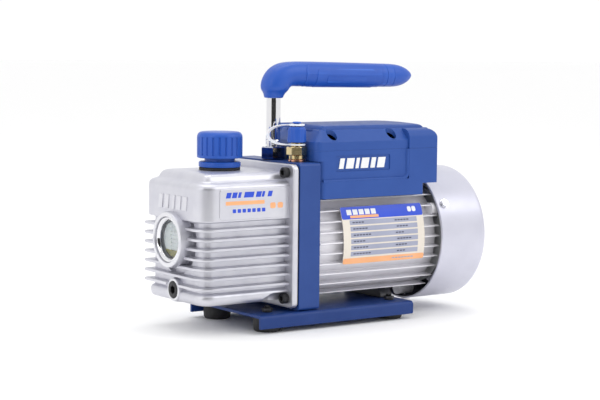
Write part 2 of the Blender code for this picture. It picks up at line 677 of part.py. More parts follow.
def make_terminal_box():
    hump = BOX_HALF_WIDTH - 0.02
    lower = box_layer("terminal_box", BOX_HALF_WIDTH, BOX_FRONT, 77, BOX_BOTTOM, 118.8)
    join(
        lower,
        box_layer("panel", BOX_PANEL, BOX_FRONT, BOX_REAR, 114.3, 136),
        box_layer("nose", BOX_PANEL - 0.05, BOX_NOSE, BOX_REAR - 0.05, 135.3, BOX_SEAM - 0.2),
        box("rear_section", (BOX_HUMP, BOX_REAR + 0.02), (-hump, hump), (114.2, BOX_SEAM - 0.22)),
    )
    cut(
        lower,
        box_layer("inside", BOX_PANEL, BOX_FRONT, BOX_REAR, 115.4, 160, inset=BOX_WALL),
        box("under", (-28, 74.4), (-47.4, 47.4), (100, 112.8)),
        rod("motor", "X", (0, SHAFT_Z), -40, 100, CORE_RADIUS + 0.5, 64),
    )
    posts = [rod("post", "Z", (x, y), 114, BOX_SEAM - 0.25, 4.6, 10) for x, y in box_screw_places()]
    join(lower, *posts)
    tools = [rod("screw_hole", "Z", at, 127, 150, 2.1, 12) for at in box_screw_places()]
    tools += [
        nut_relief(),
        box("inlet_opening", (INLET_X - 14.0, INLET_X + 14.0), (40, 60), (PANEL_Z - 10, PANEL_Z + 10)),
        box("switch_opening", (SWITCH_X - 7.0, SWITCH_X + 7.0), (40, 60), (PANEL_Z - 10, PANEL_Z + 10)),
    ]
    finish(cut(lower, *tools), "blue_plastic")


def box_screw_places():
    return [(x, y) for x in BOX_SCREW_X for y in (-BOX_SCREW_Y, BOX_SCREW_Y)]


def nut_relief():
    """Room for the corners of the handle nut beside the box."""
    return rod("nut_relief", "Z", (POST_X, 0), NUT_BOTTOM - 0.2, NUT_TOP + 0.6, 11.4, 32)


def mirrored(outline):
    """An outline from the +Y side to the middle, carried on down the -Y side."""
    return outline + [(-y, z) for y, z in reversed(outline)]


def cover_ring(z, lean):
    """The cover's plan at a height, where its long sides lean in by so much."""
    side = BOX_PANEL - lean
    ring = box_plan(BOX_PANEL, BOX_NOSE + 0.3 * lean, BOX_REAR - 0.3 * lean)
    return [(x, max(-side, min(side, y)), z) for x, y in ring]


def make_terminal_box_cover():
    levels = ((BOX_SEAM + 0.1, 0), (151, 0), (BOX_ROOF, 9.4))
    cover = solid("terminal_box_cover", [cover_ring(z, lean) for z, lean in levels])
    half = BOX_HALF_WIDTH
    crown = mirrored([(36.5, 158.5), (35.6, 162.2), (31.0, 163.35), (8.0, 164.15)])
    hump = mirrored([(half, BOX_SEAM + 0.12), (half, 151.5), *arc((half - 8, 152), 8, 0, 90, 4)])
    join(cover, prism("crown", crown, "X", -20, 76), prism("hump", hump, "X", BOX_HUMP, BOX_REAR + 0.02))
    heights = ((140, BOX_WALL), (149.5, BOX_WALL), (157.4, 11))
    inside = [[(x, y, z) for x, y in box_plan(BOX_PANEL, BOX_NOSE, BOX_REAR, inset)] for z, inset in heights]
    edge = BOX_REAR - 7.5
    corner = [(BOX_REAR + 4, 152.5), (BOX_REAR + 4, 170), (edge, 170), *arc((edge, 152.5), 7.5, 90, 0, 4)]
    cut(cover, solid("inside", inside), prism("rear_corner", corner, "Y", -60, 60))
    join(cover, *[rod("boss", "Z", at, BOX_SEAM + 0.15, 152, 5.6, 10) for at in box_screw_places()])
    tools = [rod("screw_hole", "Z", at, 140, 150, 2.2, 12) for at in box_screw_places()]
    tools += [rod("screw_pocket", "Z", at, 147.4, 170, 4.5, 12) for at in box_screw_places()]
    finish(cut(cover, nut_relief(), *tools), "blue_plastic")
    for number, at in enumerate(box_screw_places(), 1):
        screw = [(129, 1.9), (147.7, 1.9), (147.7, 3.6), (149.4, 3.6), (150.2, 2.6)]
        finish(turned(f"box_screw_{number}", screw, "Z", at, 10), "steel")


def make_power_inlet():
    x, z, face = INLET_X, PANEL_Z, BOX_PANEL
    inlet = box("power_inlet", (x - 13.6, x + 13.6), (face - 20, face + 0.5), (z - 9.6, z + 9.6))
    outline = rounded((x - 15.6, x + 15.6), (z - 11.4, z + 11.4), 3, 3)
    join(inlet, prism("plate", outline, "Y", face + 0.25, face + 2.2))
    recess = rounded((x - 11.3, x + 11.3), (z - 7.6, z + 7.6), 2, 3)
    cut(inlet, prism("recess", recess, "Y", face - 14, face + 10))
    pins = [box("pin", (x + dx - 1, x + dx + 1), (face - 15, face - 4), (z + dz - 2, z + dz + 2))
            for dx, dz in ((-7, -1.5), (0, 1.5), (7, -1.5))]
    finish(join(inlet, *pins), "rubber")


def make_switch():
    x, z, face = SWITCH_X, PANEL_Z, BOX_HALF_WIDTH
    frame = box("switch_housing", (x - 6.6, x + 6.6), (face - 19, face + 0.5), (z - 9.6, z + 9.6))
    outline = rounded((x - 9, x + 9), (z - 11.4, z + 11.4), 2, 2)
    join(frame, prism("plate", outline, "Y", face + 0.25, face + 2.1))
    cut(frame, box("well", (x - 5.0, x + 5.0), (face - 13.5, face + 10), (z - 8.7, z + 8.7)))
    finish(frame, "rubber")
    lean = math.radians(ROCKER_LEAN)
    outline = []
    for out, up in ((-5.5, -4), (-2, -7.4), (4.6, -7.9), (3.4, 0), (4.6, 7.9), (-2, 7.4), (-5.5, 4)):
        y = face - 2.0 + out * math.cos(lean) - up * math.sin(lean)
        outline.append((y, z + out * math.sin(lean) + up * math.cos(lean)))
    finish(prism("switch_rocker", outline, "X", x - 4.7, x + 4.7), "red_plastic")


def make_capacitor():
    profile = [(-5, 13.2), (-4, 14.0), (44, 14.0), (45, 13.2)]
    finish(turned("run_capacitor", profile, "X", (-14, 131), 20), "silver_paint")


def build():
    clear_scene()
    make_base_plate()
    make_feet()
    make_rear_support()
    make_bracket()
    make_tank_gasket()
    make_oil_tank()
    make_tank_bolts()
    make_sight_glass()
    make_drain_plug()
    make_exhaust_cap()
    make_post()
    make_grip()
    make_intake()
    make_strap()
    make_pump_module()
    make_housing()
    make_motor_inside()
    make_fan()
    make_fan_cover()
    make_name_plate()
    make_terminal_box()
    make_terminal_box_cover()
    make_power_inlet()
    make_switch()
    make_capacitor()


build()
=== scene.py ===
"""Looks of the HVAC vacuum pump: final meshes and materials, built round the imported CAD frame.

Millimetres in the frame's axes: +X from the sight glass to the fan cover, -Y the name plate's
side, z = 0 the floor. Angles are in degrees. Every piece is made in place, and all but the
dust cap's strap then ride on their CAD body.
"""

from math import acos, copysign, cos, degrees, exp, pi, radians, sin, sqrt

import bmesh
import bpy
from mathutils import Matrix, Vector


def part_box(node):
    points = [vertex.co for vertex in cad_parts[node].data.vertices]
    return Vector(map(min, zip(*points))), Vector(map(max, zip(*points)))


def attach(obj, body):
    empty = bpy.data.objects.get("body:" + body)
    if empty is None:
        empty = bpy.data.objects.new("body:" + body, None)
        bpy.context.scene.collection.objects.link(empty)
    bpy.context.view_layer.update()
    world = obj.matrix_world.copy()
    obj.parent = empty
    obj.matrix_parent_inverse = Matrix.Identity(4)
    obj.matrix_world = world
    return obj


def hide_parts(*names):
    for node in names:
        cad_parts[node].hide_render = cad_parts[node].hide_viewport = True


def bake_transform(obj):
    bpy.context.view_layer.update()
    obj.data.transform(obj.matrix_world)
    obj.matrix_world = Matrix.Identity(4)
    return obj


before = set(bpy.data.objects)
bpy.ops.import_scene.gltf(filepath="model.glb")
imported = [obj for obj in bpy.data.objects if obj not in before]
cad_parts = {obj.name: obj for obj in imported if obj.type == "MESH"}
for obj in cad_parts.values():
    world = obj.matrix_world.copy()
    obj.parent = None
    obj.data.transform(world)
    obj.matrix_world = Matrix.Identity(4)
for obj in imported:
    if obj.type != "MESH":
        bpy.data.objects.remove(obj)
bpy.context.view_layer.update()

MM = 0.001


def span(node):
    """Lowest and highest corner of a CAD node, in millimetres."""
    low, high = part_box(node)
    return Vector(low) / MM, Vector(high) / MM


def middle(node):
    low, high = span(node)
    return (low + high) / 2


def half_width(node):
    low, high = span(node)
    return (high.x - low.x) / 2


# ---- places and sizes read from the frame ----

BRACKET_LOW, BRACKET_HIGH = span("pump_bracket")
BASE_LOW, BASE_HIGH = span("base_plate")
COVER_LOW, COVER_HIGH = span("fan_cover")
BOX_LOW, BOX_HIGH = span("terminal_box")
LID_REAR = span("terminal_box_cover")[1].x
MOTOR_FRONT = span("motor_housing")[0].x
SHAFT_Z = middle("motor_shaft").z
SIGHT_Z = middle("sight_glass_lens").z
DRAIN_Z = middle("drain_plug").z
CAP_X = middle("exhaust_cap_hood").x
POST_X = middle("handle_post").x
INTAKE = tuple(middle("intake_washer").xy)
PLATE_LOW, PLATE_HIGH = span("name_plate")

# ---- design sizes that the frame can't give ----

SHEET, SHEET_BEND, BASE_CORNER = 2.5, 3.2, 1.5
# The tank: its body, fins, roof, side pads, cast bars, oil level and flange
TANK_HALF_WIDTH = 44.4
TANK_FRONT = -140.3
TANK_NEAR_CORNER, TANK_FAR_CORNER, FIN_FAR_CORNER = 14.0, 10.5, 1.5
FIN_Z = tuple(37.7 + 7.72 * i for i in range(7))
FIN_DEPTH = 5.5
TANK_ROOF = 128.0
PAD_LOW, PAD_HIGH = 92.0, 116.4
RELIEF_LOW, RELIEF_HIGH, RELIEF_LEAN, RELIEF_PITCH = 98.4, 109.6, -1.6, 9.2
OIL_BELOW_SIGHT = 8.6
FLANGE_FRONT, FLANGE_REAR, FLANGE_BOTTOM, FLANGE_TOP = -57.6, -52.3, 17.6, 133.7
# How far the hexagons of the handle's nut and the intake are turned, and how far the strap twists
NUT_TURN, INTAKE_TURN, STRAP_TWIST = 24.7, -5.3, 50.0
# The strap loops away from the intake in this direction, over these reaches and heights
STRAP_ALONG = Vector((-0.9, 0.436, 0)).normalized()
STRAP_NEAR, STRAP_REACH, STRAP_MIDDLE, STRAP_RISE = 5.6, 18.0, 156.6, 8.0
STRAP_STEPS, STRAP_HALF_WIDTH, STRAP_HALF_THICKNESS = 48, 1.8, 0.4
DUST_CAP_RIBS = 12
GRIP_SEAMS = (66.5, 74.0)
BOLT_Y, BOLT_HIGH, BOLT_LOW = 41.5, 127.2, 25.6
BOLT_KNURLS = 36
KNOB_GROOVES = 22
# The motor: its core and fins, and the screws that hold the fan cover to its ears
CORE_RADIUS, HOUSING_BORE = 44.5, 41.5
MOTOR_FIN_TOP, MOTOR_FIN_PITCH, MOTOR_FIN_COUNT = 36.2, 8.6, 10
FIN_REACH, FIN_ARC, FIN_LIMIT = 51.0, 68.0, 53.5  # the fins' tips lie on an arc, cut off by a circle
HOUSING_REAR, EAR_CENTRE, EAR_RADIUS = 94.0, 49.4, 5.0
COVER_WALL, COVER_ROUNDING, COVER_FLAT = 1.4, 9.0, 41.0
COVER_SLOTS = ((18.5, 7, 8), (30.5, 9, 16), (45.0, 5, 24))  # (ring radius, slot length, count)
COVER_SCREW_X, COVER_SCREW_ANGLES = 99.1, (-150, -30, 90)
# The name plate, above the shaft line, and how far its print stands off the fins' arc
PLATE_FOOT, PLATE_HEAD, PLATE_ROW_PITCH, PRINT_GAP = -16.2, 30.3, 5.13, 0.93
# The terminal box: its side panel, its seam with the lid, the lid's flat top, screws and corners
BOX_PANEL, BOX_SEAM, BOX_ROOF = 48.4, 143.8, 160.4
BOX_SCREW_X, BOX_SCREW_Y = (-15.3, 46.0), 42.6
BOX_NEAR_CORNER, BOX_REAR_CORNER, BEAD_CORNER, HUMP_BEND = 5.5, 3.0, 5.0, 7.5
BADGE_BARS = ((4.6, 2.4), (7.6, 2.2), (3.2, 2.2), (7.6, 2.4), (4.6, 2.2), (7.6, 0))  # (width, gap)
BOX_NOSE, BOX_FRONT, BOX_STEP = -33.5, -30.7, 60.5
BOX_WALL, BOX_POST_RADIUS, LID_BOSS_RADIUS, LID_POCKET_RADIUS = 2.6, 4.6, 5.6, 4.5
INLET_X, SWITCH_X, PANEL_Z = 24.0, 72.0, 131.0
SWITCH_FACE, ROCKER_LEAN = 50.1, 9.0
SHELL_HALF_HEIGHT, SHELL_PLATE_HALF_HEIGHT = 9.6, 11.4

# ---- camera: matched to the photograph's viewpoint ----

CAMERA_AT = Vector((-813.3, -1127.5, 227.9))
CAMERA_AZIMUTH, CAMERA_ELEVATION, CAMERA_ROLL = -35.27, 5.30, 0.58
CAMERA_LENS = 99.4

# ---- studio: light strengths, and a dark card from one angle and height to another ----

WORLD_LIGHT = 1.02
KEY_LIGHT, LEFT_LIGHT, TOP_LIGHT = 4.0, 2.0, 6.0
FLAG_FROM, FLAG_TO, FLAG_LOW, FLAG_HIGH, FLAG_RADIUS = -3, 69, 5, 800, 1000
FLOOR_REACH = 20000


# ---- mesh helpers ----


def link(obj):
    bpy.context.scene.collection.objects.link(obj)
    return obj


def solid(name, rings, loop=False):
    """A closed body through rings of equal length. A loop joins its last ring to its first."""
    mesh = bpy.data.meshes.new(name)
    work = bmesh.new()
    rows = [[work.verts.new(MM * Vector(point)) for point in ring] for ring in rings]
    count = len(rows[0])
    pairs = list(zip(rows, rows[1:]))
    if loop:
        pairs.append((rows[-1], rows[0]))
    else:
        work.faces.new(rows[0])
        work.faces.new(rows[-1])
    for low, high in pairs:
        for i in range(count):
            j = (i + 1) % count
            work.faces.new((low[i], low[j], high[j], high[i]))
    bmesh.ops.recalc_face_normals(work, faces=work.faces)
    work.to_mesh(mesh)
    work.free()
    return link(bpy.data.objects.new(name, mesh))


def place(axis, a, b, t):
    """The point at (a, b) in the plane across an axis, and t along it."""
    if axis == "X":
        return (t, a, b)
    if axis == "Y":
        return (a, t, b)
    return (a, b, t)


def prism(name, outline, axis, low, high):
    return solid(name, [[place(axis, a, b, t) for a, b in outline] for t in (low, high)])


def box(name, x, y, z):
    return prism(name, [(x[0], y[0]), (x[1], y[0]), (x[1], y[1]), (x[0], y[1])], "Z", *z)


def hexagon(angle):
    """Radius of a hexagon across this angle, for an across-flats radius of one."""
    return 1 / cos((angle + pi / 6) % (pi / 3) - pi / 6)


def turned(name, profile, axis, centre, steps=64, loop=False, turn=0.0):
    """A turned body. The profile lists (distance along the axis, radius[, shape of the ring])."""
    start = radians(turn)
    rings = []
    for along, radius, *shape in profile:
        ring = []
        for i in range(steps):
            angle = 2 * pi * i / steps
            reach = radius * (shape[0](angle) if shape else 1)
            a = centre[0] + reach * cos(angle + start)
            b = centre[1] + reach * sin(angle + start)
            ring.append(place(axis, a, b, along))
        rings.append(ring)
    return solid(name, rings, loop)


def rod(name, axis, centre, low, high, radius, steps=32):
    return turned(name, [(low, radius), (high, radius)], axis, centre, steps)


def tube(name, axis, centre, low, high, outer, inner, steps=48):
    profile = [(low, outer), (high, outer), (high, inner), (low, inner)]
    return turned(name, profile, axis, centre, steps, loop=True)


def washer(name, centre, low, high, inner, outer, chamfer=(0.3, 0.3), steps=48):
    """A flat upright ring. The chamfer of its outer edges is (along the axis, across it)."""
    along, rim = chamfer[0], outer - chamfer[1]
    profile = [(low, inner), (low, rim), (low + along, outer)]
    profile += [(high - along, outer), (high, rim), (high, inner)]
    return turned(name, profile, "Z", centre, steps, loop=True)


def thread(start, pitch, count, ridge):
    """The same ridge, as (along, radius) points, repeated up a thread."""
    return [(start + pitch * i + along, radius) for i in range(count) for along, radius in ridge]


def arc(centre, radius, start, end, steps):
    """Points from one angle to another, in degrees, both ends included."""
    points = []
    for i in range(steps + 1):
        angle = radians(start + (end - start) * i / steps)
        points.append((centre[0] + radius * cos(angle), centre[1] + radius * sin(angle)))
    return points


def rounded(a, b, radius, steps=6):
    """A rectangle from a[0] to a[1] and b[0] to b[1] with rounded corners."""
    outline = arc((a[1] - radius, b[1] - radius), radius, 0, 90, steps)
    outline += arc((a[0] + radius, b[1] - radius), radius, 90, 180, steps)
    outline += arc((a[0] + radius, b[0] + radius), radius, 180, 270, steps)
    return outline + arc((a[1] - radius, b[0] + radius), radius, 270, 360, steps)


def slanted(start, wide, lean, low, high):
    """The outline of a bar whose top leans over."""
    return [(start, low), (start + wide, low), (start + wide + lean, high), (start + lean, high)]


def bake(obj):
    """Turns the object's modifiers into plain mesh."""
    bpy.context.view_layer.update()
    evaluated = obj.evaluated_get(bpy.context.evaluated_depsgraph_get())
    mesh = bpy.data.meshes.new_from_object(evaluated)
    obj.modifiers.clear()
    obj.data = mesh
    return obj


def boolean(body, tools, operation):
    """Cuts the tools from the body, or adds them to it, and removes the tools."""
    for tool in tools:
        step = body.modifiers.new(operation, "BOOLEAN")
        step.operation = operation
        step.solver = "EXACT"
        step.object = tool
    bake(body)
    for tool in tools:
        bpy.data.objects.remove(tool, do_unlink=True)
    return body


def cut(body, *tools):
    return boolean(body, tools, "DIFFERENCE")


def join(body, *tools):
    return boolean(body, tools, "UNION")


def bevel(obj, width, segments=2, angle=50):
    """Rounds every edge sharper than the angle."""
    step = obj.modifiers.new("Bevel", "BEVEL")
    step.width = width * MM
    step.segments = segments
    step.limit_method = "ANGLE"
    step.angle_limit = radians(angle)
    return bake(obj)


def smooth(obj, angle=32):
    """Smooth shading that breaks at sharp edges and leaves broad flat faces flat."""
    obj.data.shade_smooth()
    obj.data.set_sharp_from_angle(angle=radians(angle))
    step = obj.modifiers.new("Weighted", "WEIGHTED_NORMAL")
    step.keep_sharp = True
    return bake(obj)


def merged(name, parts):
    """One object from several closed meshes that may touch or interlock."""
    mesh = bpy.data.meshes.new(name)
    work = bmesh.new()
    for part in parts:
        work.from_mesh(part.data)
        bpy.data.objects.remove(part, do_unlink=True)
    work.to_mesh(mesh)
    work.free()
    return link(bpy.data.objects.new(name, mesh))


def turn_about_shaft(obj, angle):
    """Turns a body made along +Y about the shaft line, so that it points at the angle."""
    centre = Vector((0, 0, SHAFT_Z * MM))
    spin = Matrix.Rotation(radians(-angle), 4, "X")
    obj.data.transform(Matrix.Translation(centre) @ spin @ Matrix.Translation(-centre))
    return obj


def radial_rod(angle, x, low, high, radius, steps=16):
    return turn_about_shaft(rod("radial", "Y", (x, SHAFT_Z), low, high, radius, steps), angle)


def finish_piece(obj, material, *replaced, body="frame", slot=None, sharp=32):
    """Gives a piece its material, hides the CAD parts it stands in for, and lets it ride on its body."""
    smooth(obj, sharp)
    obj.data.materials.clear()
    obj.data.materials.append(LOOK[material])
    if replaced:
        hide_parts(*replaced)
    slot or SLOT[material]
    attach(obj, body)


# ---- materials ----


def node(tree, kind, **inputs):
    """A shader node. Inputs are given by name, with _ for a space, as values or as sockets to link."""
    made = tree.nodes.new(kind)
    set_inputs(tree, made, inputs)
    return made


def set_inputs(tree, made, inputs):
    for name, value in inputs.items():
        socket = made.inputs[name.replace("_", " ")]
        if isinstance(value, bpy.types.NodeSocket):
            tree.links.new(value, socket)
        else:
            socket.default_value = value


def noise(tree, size, detail=3.0, stretch=(1, 1, 1)):
    """Noise whose grain is about this many millimetres across, in the row frame."""
    place_node = node(tree, "ShaderNodeTexCoord")
    mapping = node(tree, "ShaderNodeMapping", Scale=stretch, Vector=place_node.outputs["Object"])
    made = node(tree, "ShaderNodeTexNoise", Scale=1 / (size * MM), Detail=detail,
                Vector=mapping.outputs["Vector"])
    return made.outputs["Fac"]


def ramp(tree, source, low, high, start=0.3, end=0.7):
    """Maps a grey value from start..end to low..high."""
    made = node(tree, "ShaderNodeMapRange", Value=source, From_Min=start, From_Max=end,
                To_Min=low, To_Max=high)
    return made.outputs["Result"]


def mixed(tree, factor, first, second):
    """A colour between two others."""
    made = tree.nodes.new("ShaderNodeMix")
    made.data_type = "RGBA"
    tree.links.new(factor, made.inputs["Factor"])
    for name, value in (("A", first), ("B", second)):
        socket = [s for s in made.inputs if s.name == name and s.type == "RGBA"][0]
        if isinstance(value, tuple):
            socket.default_value = (*value, 1.0)
        else:
            tree.links.new(value, socket)
    return [s for s in made.outputs if s.type == "RGBA"][0]


def bumped(tree, shader, layers):
    """Chains bump layers of (grey value, height in millimetres, strength) into the shader."""
    below = {}
    for source, height, strength in layers:
        made = node(tree, "ShaderNodeBump", Strength=strength, Distance=height * MM, Height=source, **below)
        below = {"Normal": made.outputs["Normal"]}
    set_inputs(tree, shader, below)


def new_material(name):
    made = bpy.data.materials.new(name)
    made.use_nodes = True
    return made, made.node_tree, made.node_tree.nodes["Principled BSDF"]


def surface(name, colour, other, metallic, rough, grain, bump, patch=18.0, wear=None, **sockets):
    """A Principled material: two mottled colours, uneven roughness and a fine grain.

    grain is the size in millimetres of the texture and bump its height. The edge colour shows
    along sharp edges: edge wear on the metals, a painted highlight on the bright blue plastic.
    """
    made, tree, shader = new_material(name)
    tint = mixed(tree, ramp(tree, noise(tree, patch), 0.0, 1.0), colour, other)
    # Lighter colour along sharp edges: edge wear on the metals, a painted highlight on the bright blue
    # plastic
    if wear:
        geometry = node(tree, "ShaderNodeNewGeometry")
        edge = ramp(tree, geometry.outputs["Pointiness"], 0.0, 0.8, 0.53, 0.62)
        tint = mixed(tree, edge, tint, wear)
    uneven = ramp(tree, noise(tree, patch * 0.35), *rough)
    fine = noise(tree, grain, detail=2.0)
    broad = noise(tree, grain * 7, detail=2.0)
    bumped(tree, shader, [(fine, bump, 0.6), (broad, bump * 1.6, 0.35)])
    set_inputs(tree, shader, {"Metallic": metallic, "Base Color": tint, "Roughness": uneven, **sockets})
    return made


def brushed(name, colour, other, rough, stretch):
    """Metal with fine lines along one direction: stretch is small along the lines."""
    made, tree, shader = new_material(name)
    lines = noise(tree, 0.25, detail=4.0, stretch=stretch)
    tint = mixed(tree, ramp(tree, lines, 0, 1), colour, other)
    bumped(tree, shader, [(lines, 0.012, 0.35)])
    set_inputs(tree, shader, {"Metallic": 1.0, "Base Color": tint, "Roughness": ramp(tree, lines, *rough)})
    return made


# Each row: name, slot, colour, second colour, metallic, (roughness from, to), grain size, grain height
MATERIALS = (
    ("cast_aluminium", "cast_aluminium", (0.60, 0.60, 0.66), (0.66, 0.66, 0.71), 0.80,
     (0.36, 0.46), 0.7, 0.05),
    ("motor_aluminium", "cast_aluminium", (0.78, 0.77, 0.81), (0.83, 0.82, 0.86), 0.2,
     (0.30, 0.40), 0.4, 0.02),
    ("silver_paint", "silver_paint", (0.57, 0.57, 0.66), (0.60, 0.60, 0.69), 0.55, (0.32, 0.38), 0.16, 0.008),
    ("blue_paint", "blue_paint", (0.013, 0.053, 0.238), (0.017, 0.061, 0.258), 0.0, (0.34, 0.42), 0.5, 0.014),
    # A darker copy of the blue paint for the base plate: painted shade for the shadow under the pump
    ("base_blue_paint_shaded", "blue_paint", (0.009, 0.038, 0.180), (0.012, 0.044, 0.200), 0.0,
     (0.36, 0.44), 0.5, 0.014),
    ("blue_plastic", "blue_plastic", (0.019, 0.070, 0.300), (0.023, 0.078, 0.320), 0.0,
     (0.38, 0.48), 0.35, 0.018),
    ("bright_blue_plastic", "bright_blue_plastic", (0.014, 0.082, 0.430), (0.018, 0.092, 0.460), 0.0,
     (0.34, 0.42), 0.3, 0.014),
    ("chrome", "chrome", (0.76, 0.76, 0.79), (0.80, 0.80, 0.82), 1.0, (0.05, 0.09), 0.8, 0.004),
    # A darker, bluish copy of chrome for the handle nut: painted dark reflection
    ("chrome_painted_dark_reflection", "chrome", (0.30, 0.32, 0.40), (0.36, 0.38, 0.46), 1.0, (0.10, 0.16), 0.8, 0.006),
    ("zinc_steel", "steel", (0.50, 0.50, 0.53), (0.60, 0.60, 0.62), 1.0, (0.22, 0.34), 0.3, 0.012),
    ("black_oxide", "black_steel", (0.018, 0.018, 0.020), (0.035, 0.035, 0.038), 0.6,
     (0.30, 0.42), 0.3, 0.012),
    ("brass", "brass", (0.60, 0.46, 0.22), (0.70, 0.56, 0.30), 1.0, (0.16, 0.28), 0.4, 0.01),
    ("copper", "copper", (0.70, 0.33, 0.20), (0.78, 0.42, 0.28), 1.0, (0.22, 0.34), 0.4, 0.01),
    ("black_rubber", "rubber", (0.014, 0.014, 0.016), (0.024, 0.024, 0.026), 0.0, (0.55, 0.72), 0.5, 0.03),
    ("black_plastic", "rubber", (0.012, 0.012, 0.014), (0.020, 0.020, 0.022), 0.0, (0.35, 0.48), 0.3, 0.016),
    ("white_plastic", "white_plastic", (0.82, 0.82, 0.86), (0.88, 0.88, 0.91), 0.0, (0.30, 0.40), 0.5, 0.01),
    ("red_plastic", "red_plastic", (0.50, 0.012, 0.010), (0.56, 0.020, 0.016), 0.0, (0.22, 0.32), 0.4, 0.01),
    ("label_foil", "label", (0.72, 0.66, 0.58), (0.77, 0.71, 0.63), 0.05, (0.30, 0.42), 0.4, 0.006),
    ("label_blue", "label", (0.012, 0.062, 0.58), (0.016, 0.072, 0.62), 0.0, (0.30, 0.40), 0.4, 0.004),
    ("label_orange", "label", (0.86, 0.40, 0.18), (0.90, 0.45, 0.22), 0.0, (0.32, 0.42), 0.4, 0.004),
    ("label_grey", "label", (0.33, 0.35, 0.46), (0.37, 0.39, 0.50), 0.0, (0.34, 0.44), 0.4, 0.004),
    # Dark material for the fan cover's inside faces: painted shade in the cover's mouth
    ("cover_inside_painted_shade", "cover_inside_painted_shade", (0.014, 0.014, 0.036), (0.020, 0.020, 0.046), 0.3,
     (0.45, 0.60), 0.4, 0.012),
    ("ink", "label", (0.05, 0.06, 0.10), (0.08, 0.09, 0.14), 0.0, (0.40, 0.50), 0.4, 0.004),
    ("white_ink", "label", (0.78, 0.79, 0.80), (0.84, 0.85, 0.86), 0.0, (0.34, 0.44), 0.4, 0.006),
    ("fan_nylon", "fan_nylon", (0.70, 0.71, 0.72), (0.76, 0.77, 0.78), 0.0, (0.40, 0.52), 0.5, 0.02),
    ("oil", "glass", (0.50, 0.46, 0.10), (0.56, 0.50, 0.14), 0.0, (0.06, 0.10), 3.0, 0.01),
    ("sight_glass", "glass", (0.93, 0.96, 0.95), (0.95, 0.97, 0.96), 0.0, (0.02, 0.05), 6.0, 0.002),
)

# Further settings: shader sockets, and a colour along sharp edges that is edge wear on the metals and a
# painted highlight on the bright blue plastic
MATERIAL_EXTRAS = {
    "cast_aluminium": {"wear": (0.80, 0.80, 0.83)},
    "silver_paint": {"Coat_Weight": 0.25, "Coat_Roughness": 0.2},
    "blue_paint": {"Specular_IOR_Level": 0.35},
    "base_blue_paint_shaded": {"Specular_IOR_Level": 0.3},
    "blue_plastic": {"Specular_IOR_Level": 0.3},
    # The bright blue plastic's lighter edge colour is a painted highlight on the grip's and cap's edges
    "bright_blue_plastic": {"wear": (0.03, 0.14, 0.60), "Specular_IOR_Level": 0.4},
    "black_oxide": {"wear": (0.12, 0.12, 0.13)},
    "brass": {"wear": (0.85, 0.72, 0.45)},
    "white_plastic": {"Subsurface_Weight": 0.08},
    "oil": {"Transmission_Weight": 0.6, "IOR": 1.47},
    "sight_glass": {"Transmission_Weight": 1.0, "IOR": 1.2},
}

# Each row: name, colour, second colour, (roughness from, to), stretch of the lines
BRUSHED_MATERIALS = (
    ("machined_steel", (0.44, 0.44, 0.47), (0.58, 0.58, 0.60), (0.20, 0.38), (0.04, 1, 1)),
    ("laminated_steel", (0.20, 0.20, 0.22), (0.44, 0.44, 0.47), (0.32, 0.50), (1, 0.03, 0.03)),
    ("enamelled_copper", (0.42, 0.15, 0.06), (0.66, 0.30, 0.14), (0.22, 0.36), (0.05, 1, 1)),
)

# CAD nodes that keep their own shape, by the material they get
CARRIED = {
    "machined_steel": (
        "motor_shaft", "pump_rotor", "pump_cylinder", "pump_end_plate", "bearing_front", "bearing_rear"),
    "laminated_steel": ("rotor_core", "stator_core"),
    "enamelled_copper": ("stator_windings",),
    "fan_nylon": ("cooling_fan",),
    "black_oxide": ("vane_1", "vane_2"),
    "cast_aluminium": ("rear_end_shield",),
    "silver_paint": ("run_capacitor",),
    "black_rubber": ("tank_gasket",),
}


def make_materials():
    made = {}
    for name, _, *settings in MATERIALS:
        made[name] = surface(name, *settings, **MATERIAL_EXTRAS.get(name, {}))
    for name, *settings in BRUSHED_MATERIALS:
        made[name] = brushed(name, *settings)
    return made


LOOK = make_materials()
SLOT = {row[0]: row[1] for row in MATERIALS}


# ---- base ----


def make_base_plate():
    """Sheet folded down along both long sides, with a round bend."""
    half, top, lip, bend = BASE_HIGH.y, BASE_HIGH.z, BASE_LOW.z, SHEET_BEND
    outer = [(half, lip), *arc((half - bend, top - bend), bend, 0, 90, 6)]
    outer += [*arc((-half + bend, top - bend), bend, 90, 180, 6), (-half, lip)]
    inner_half, inner_bend = half - SHEET, bend - SHEET + 0.4
    bend_y, bend_z = inner_half - inner_bend, top - SHEET - inner_bend
    inner = [(-inner_half, lip), *arc((-bend_y, bend_z), inner_bend, 180, 90, 3)]
    inner += [*arc((bend_y, bend_z), inner_bend, 90, 0, 3), (inner_half, lip)]
    plate = prism("base_plate_folded", outer + inner, "X", BASE_LOW.x, BASE_HIGH.x)
    rear, corner = BASE_HIGH.x, BASE_CORNER
    waste = [(rear + 1, lip - 1), (rear + 1, lip + corner), (rear, lip + corner)]
    waste += [*arc((rear - corner, lip + corner), corner, 0, -90, 6), (rear - corner, lip - 1)]
    cut(plate, prism("waste", waste, "Y", -80, 80))
    holes = [rod("hole", "Z", foot_place(i), 0, 30, 2.8, 24) for i in range(1, 5)]
    cut(plate, *holes)
    bevel(plate, 0.35)
    # The base plate's darker blue is painted shade for the shadow under the pump
    finish_piece(plate, "base_blue_paint_shaded", "base_plate")


def foot_place(number):
    centre = middle(f"foot_{number}")
    return centre.x, centre.y


def make_feet():
    for number in range(1, 5):
        at = foot_place(number)
        radius = half_width(f"foot_{number}")
        profile = [(0, 6.4), (0, radius - 1.9), (0.3, radius - 1.2), (1.0, radius - 0.6)]
        profile += [(2.2, radius - 0.25), (5.0, radius), (10.6, radius), (11.4, radius - 0.3)]
        profile += [(12.2, radius - 0.9)]
        profile += [(12.2, 2.8), (4.4, 2.8), (4.4, 1.2), (2.2, 1.2), (2.2, 6.0)]
        foot = turned(f"rubber_foot_{number}", profile, "Z", at, 48, loop=True)
        finish_piece(foot, "black_rubber", f"foot_{number}")
        make_stud(number, at)


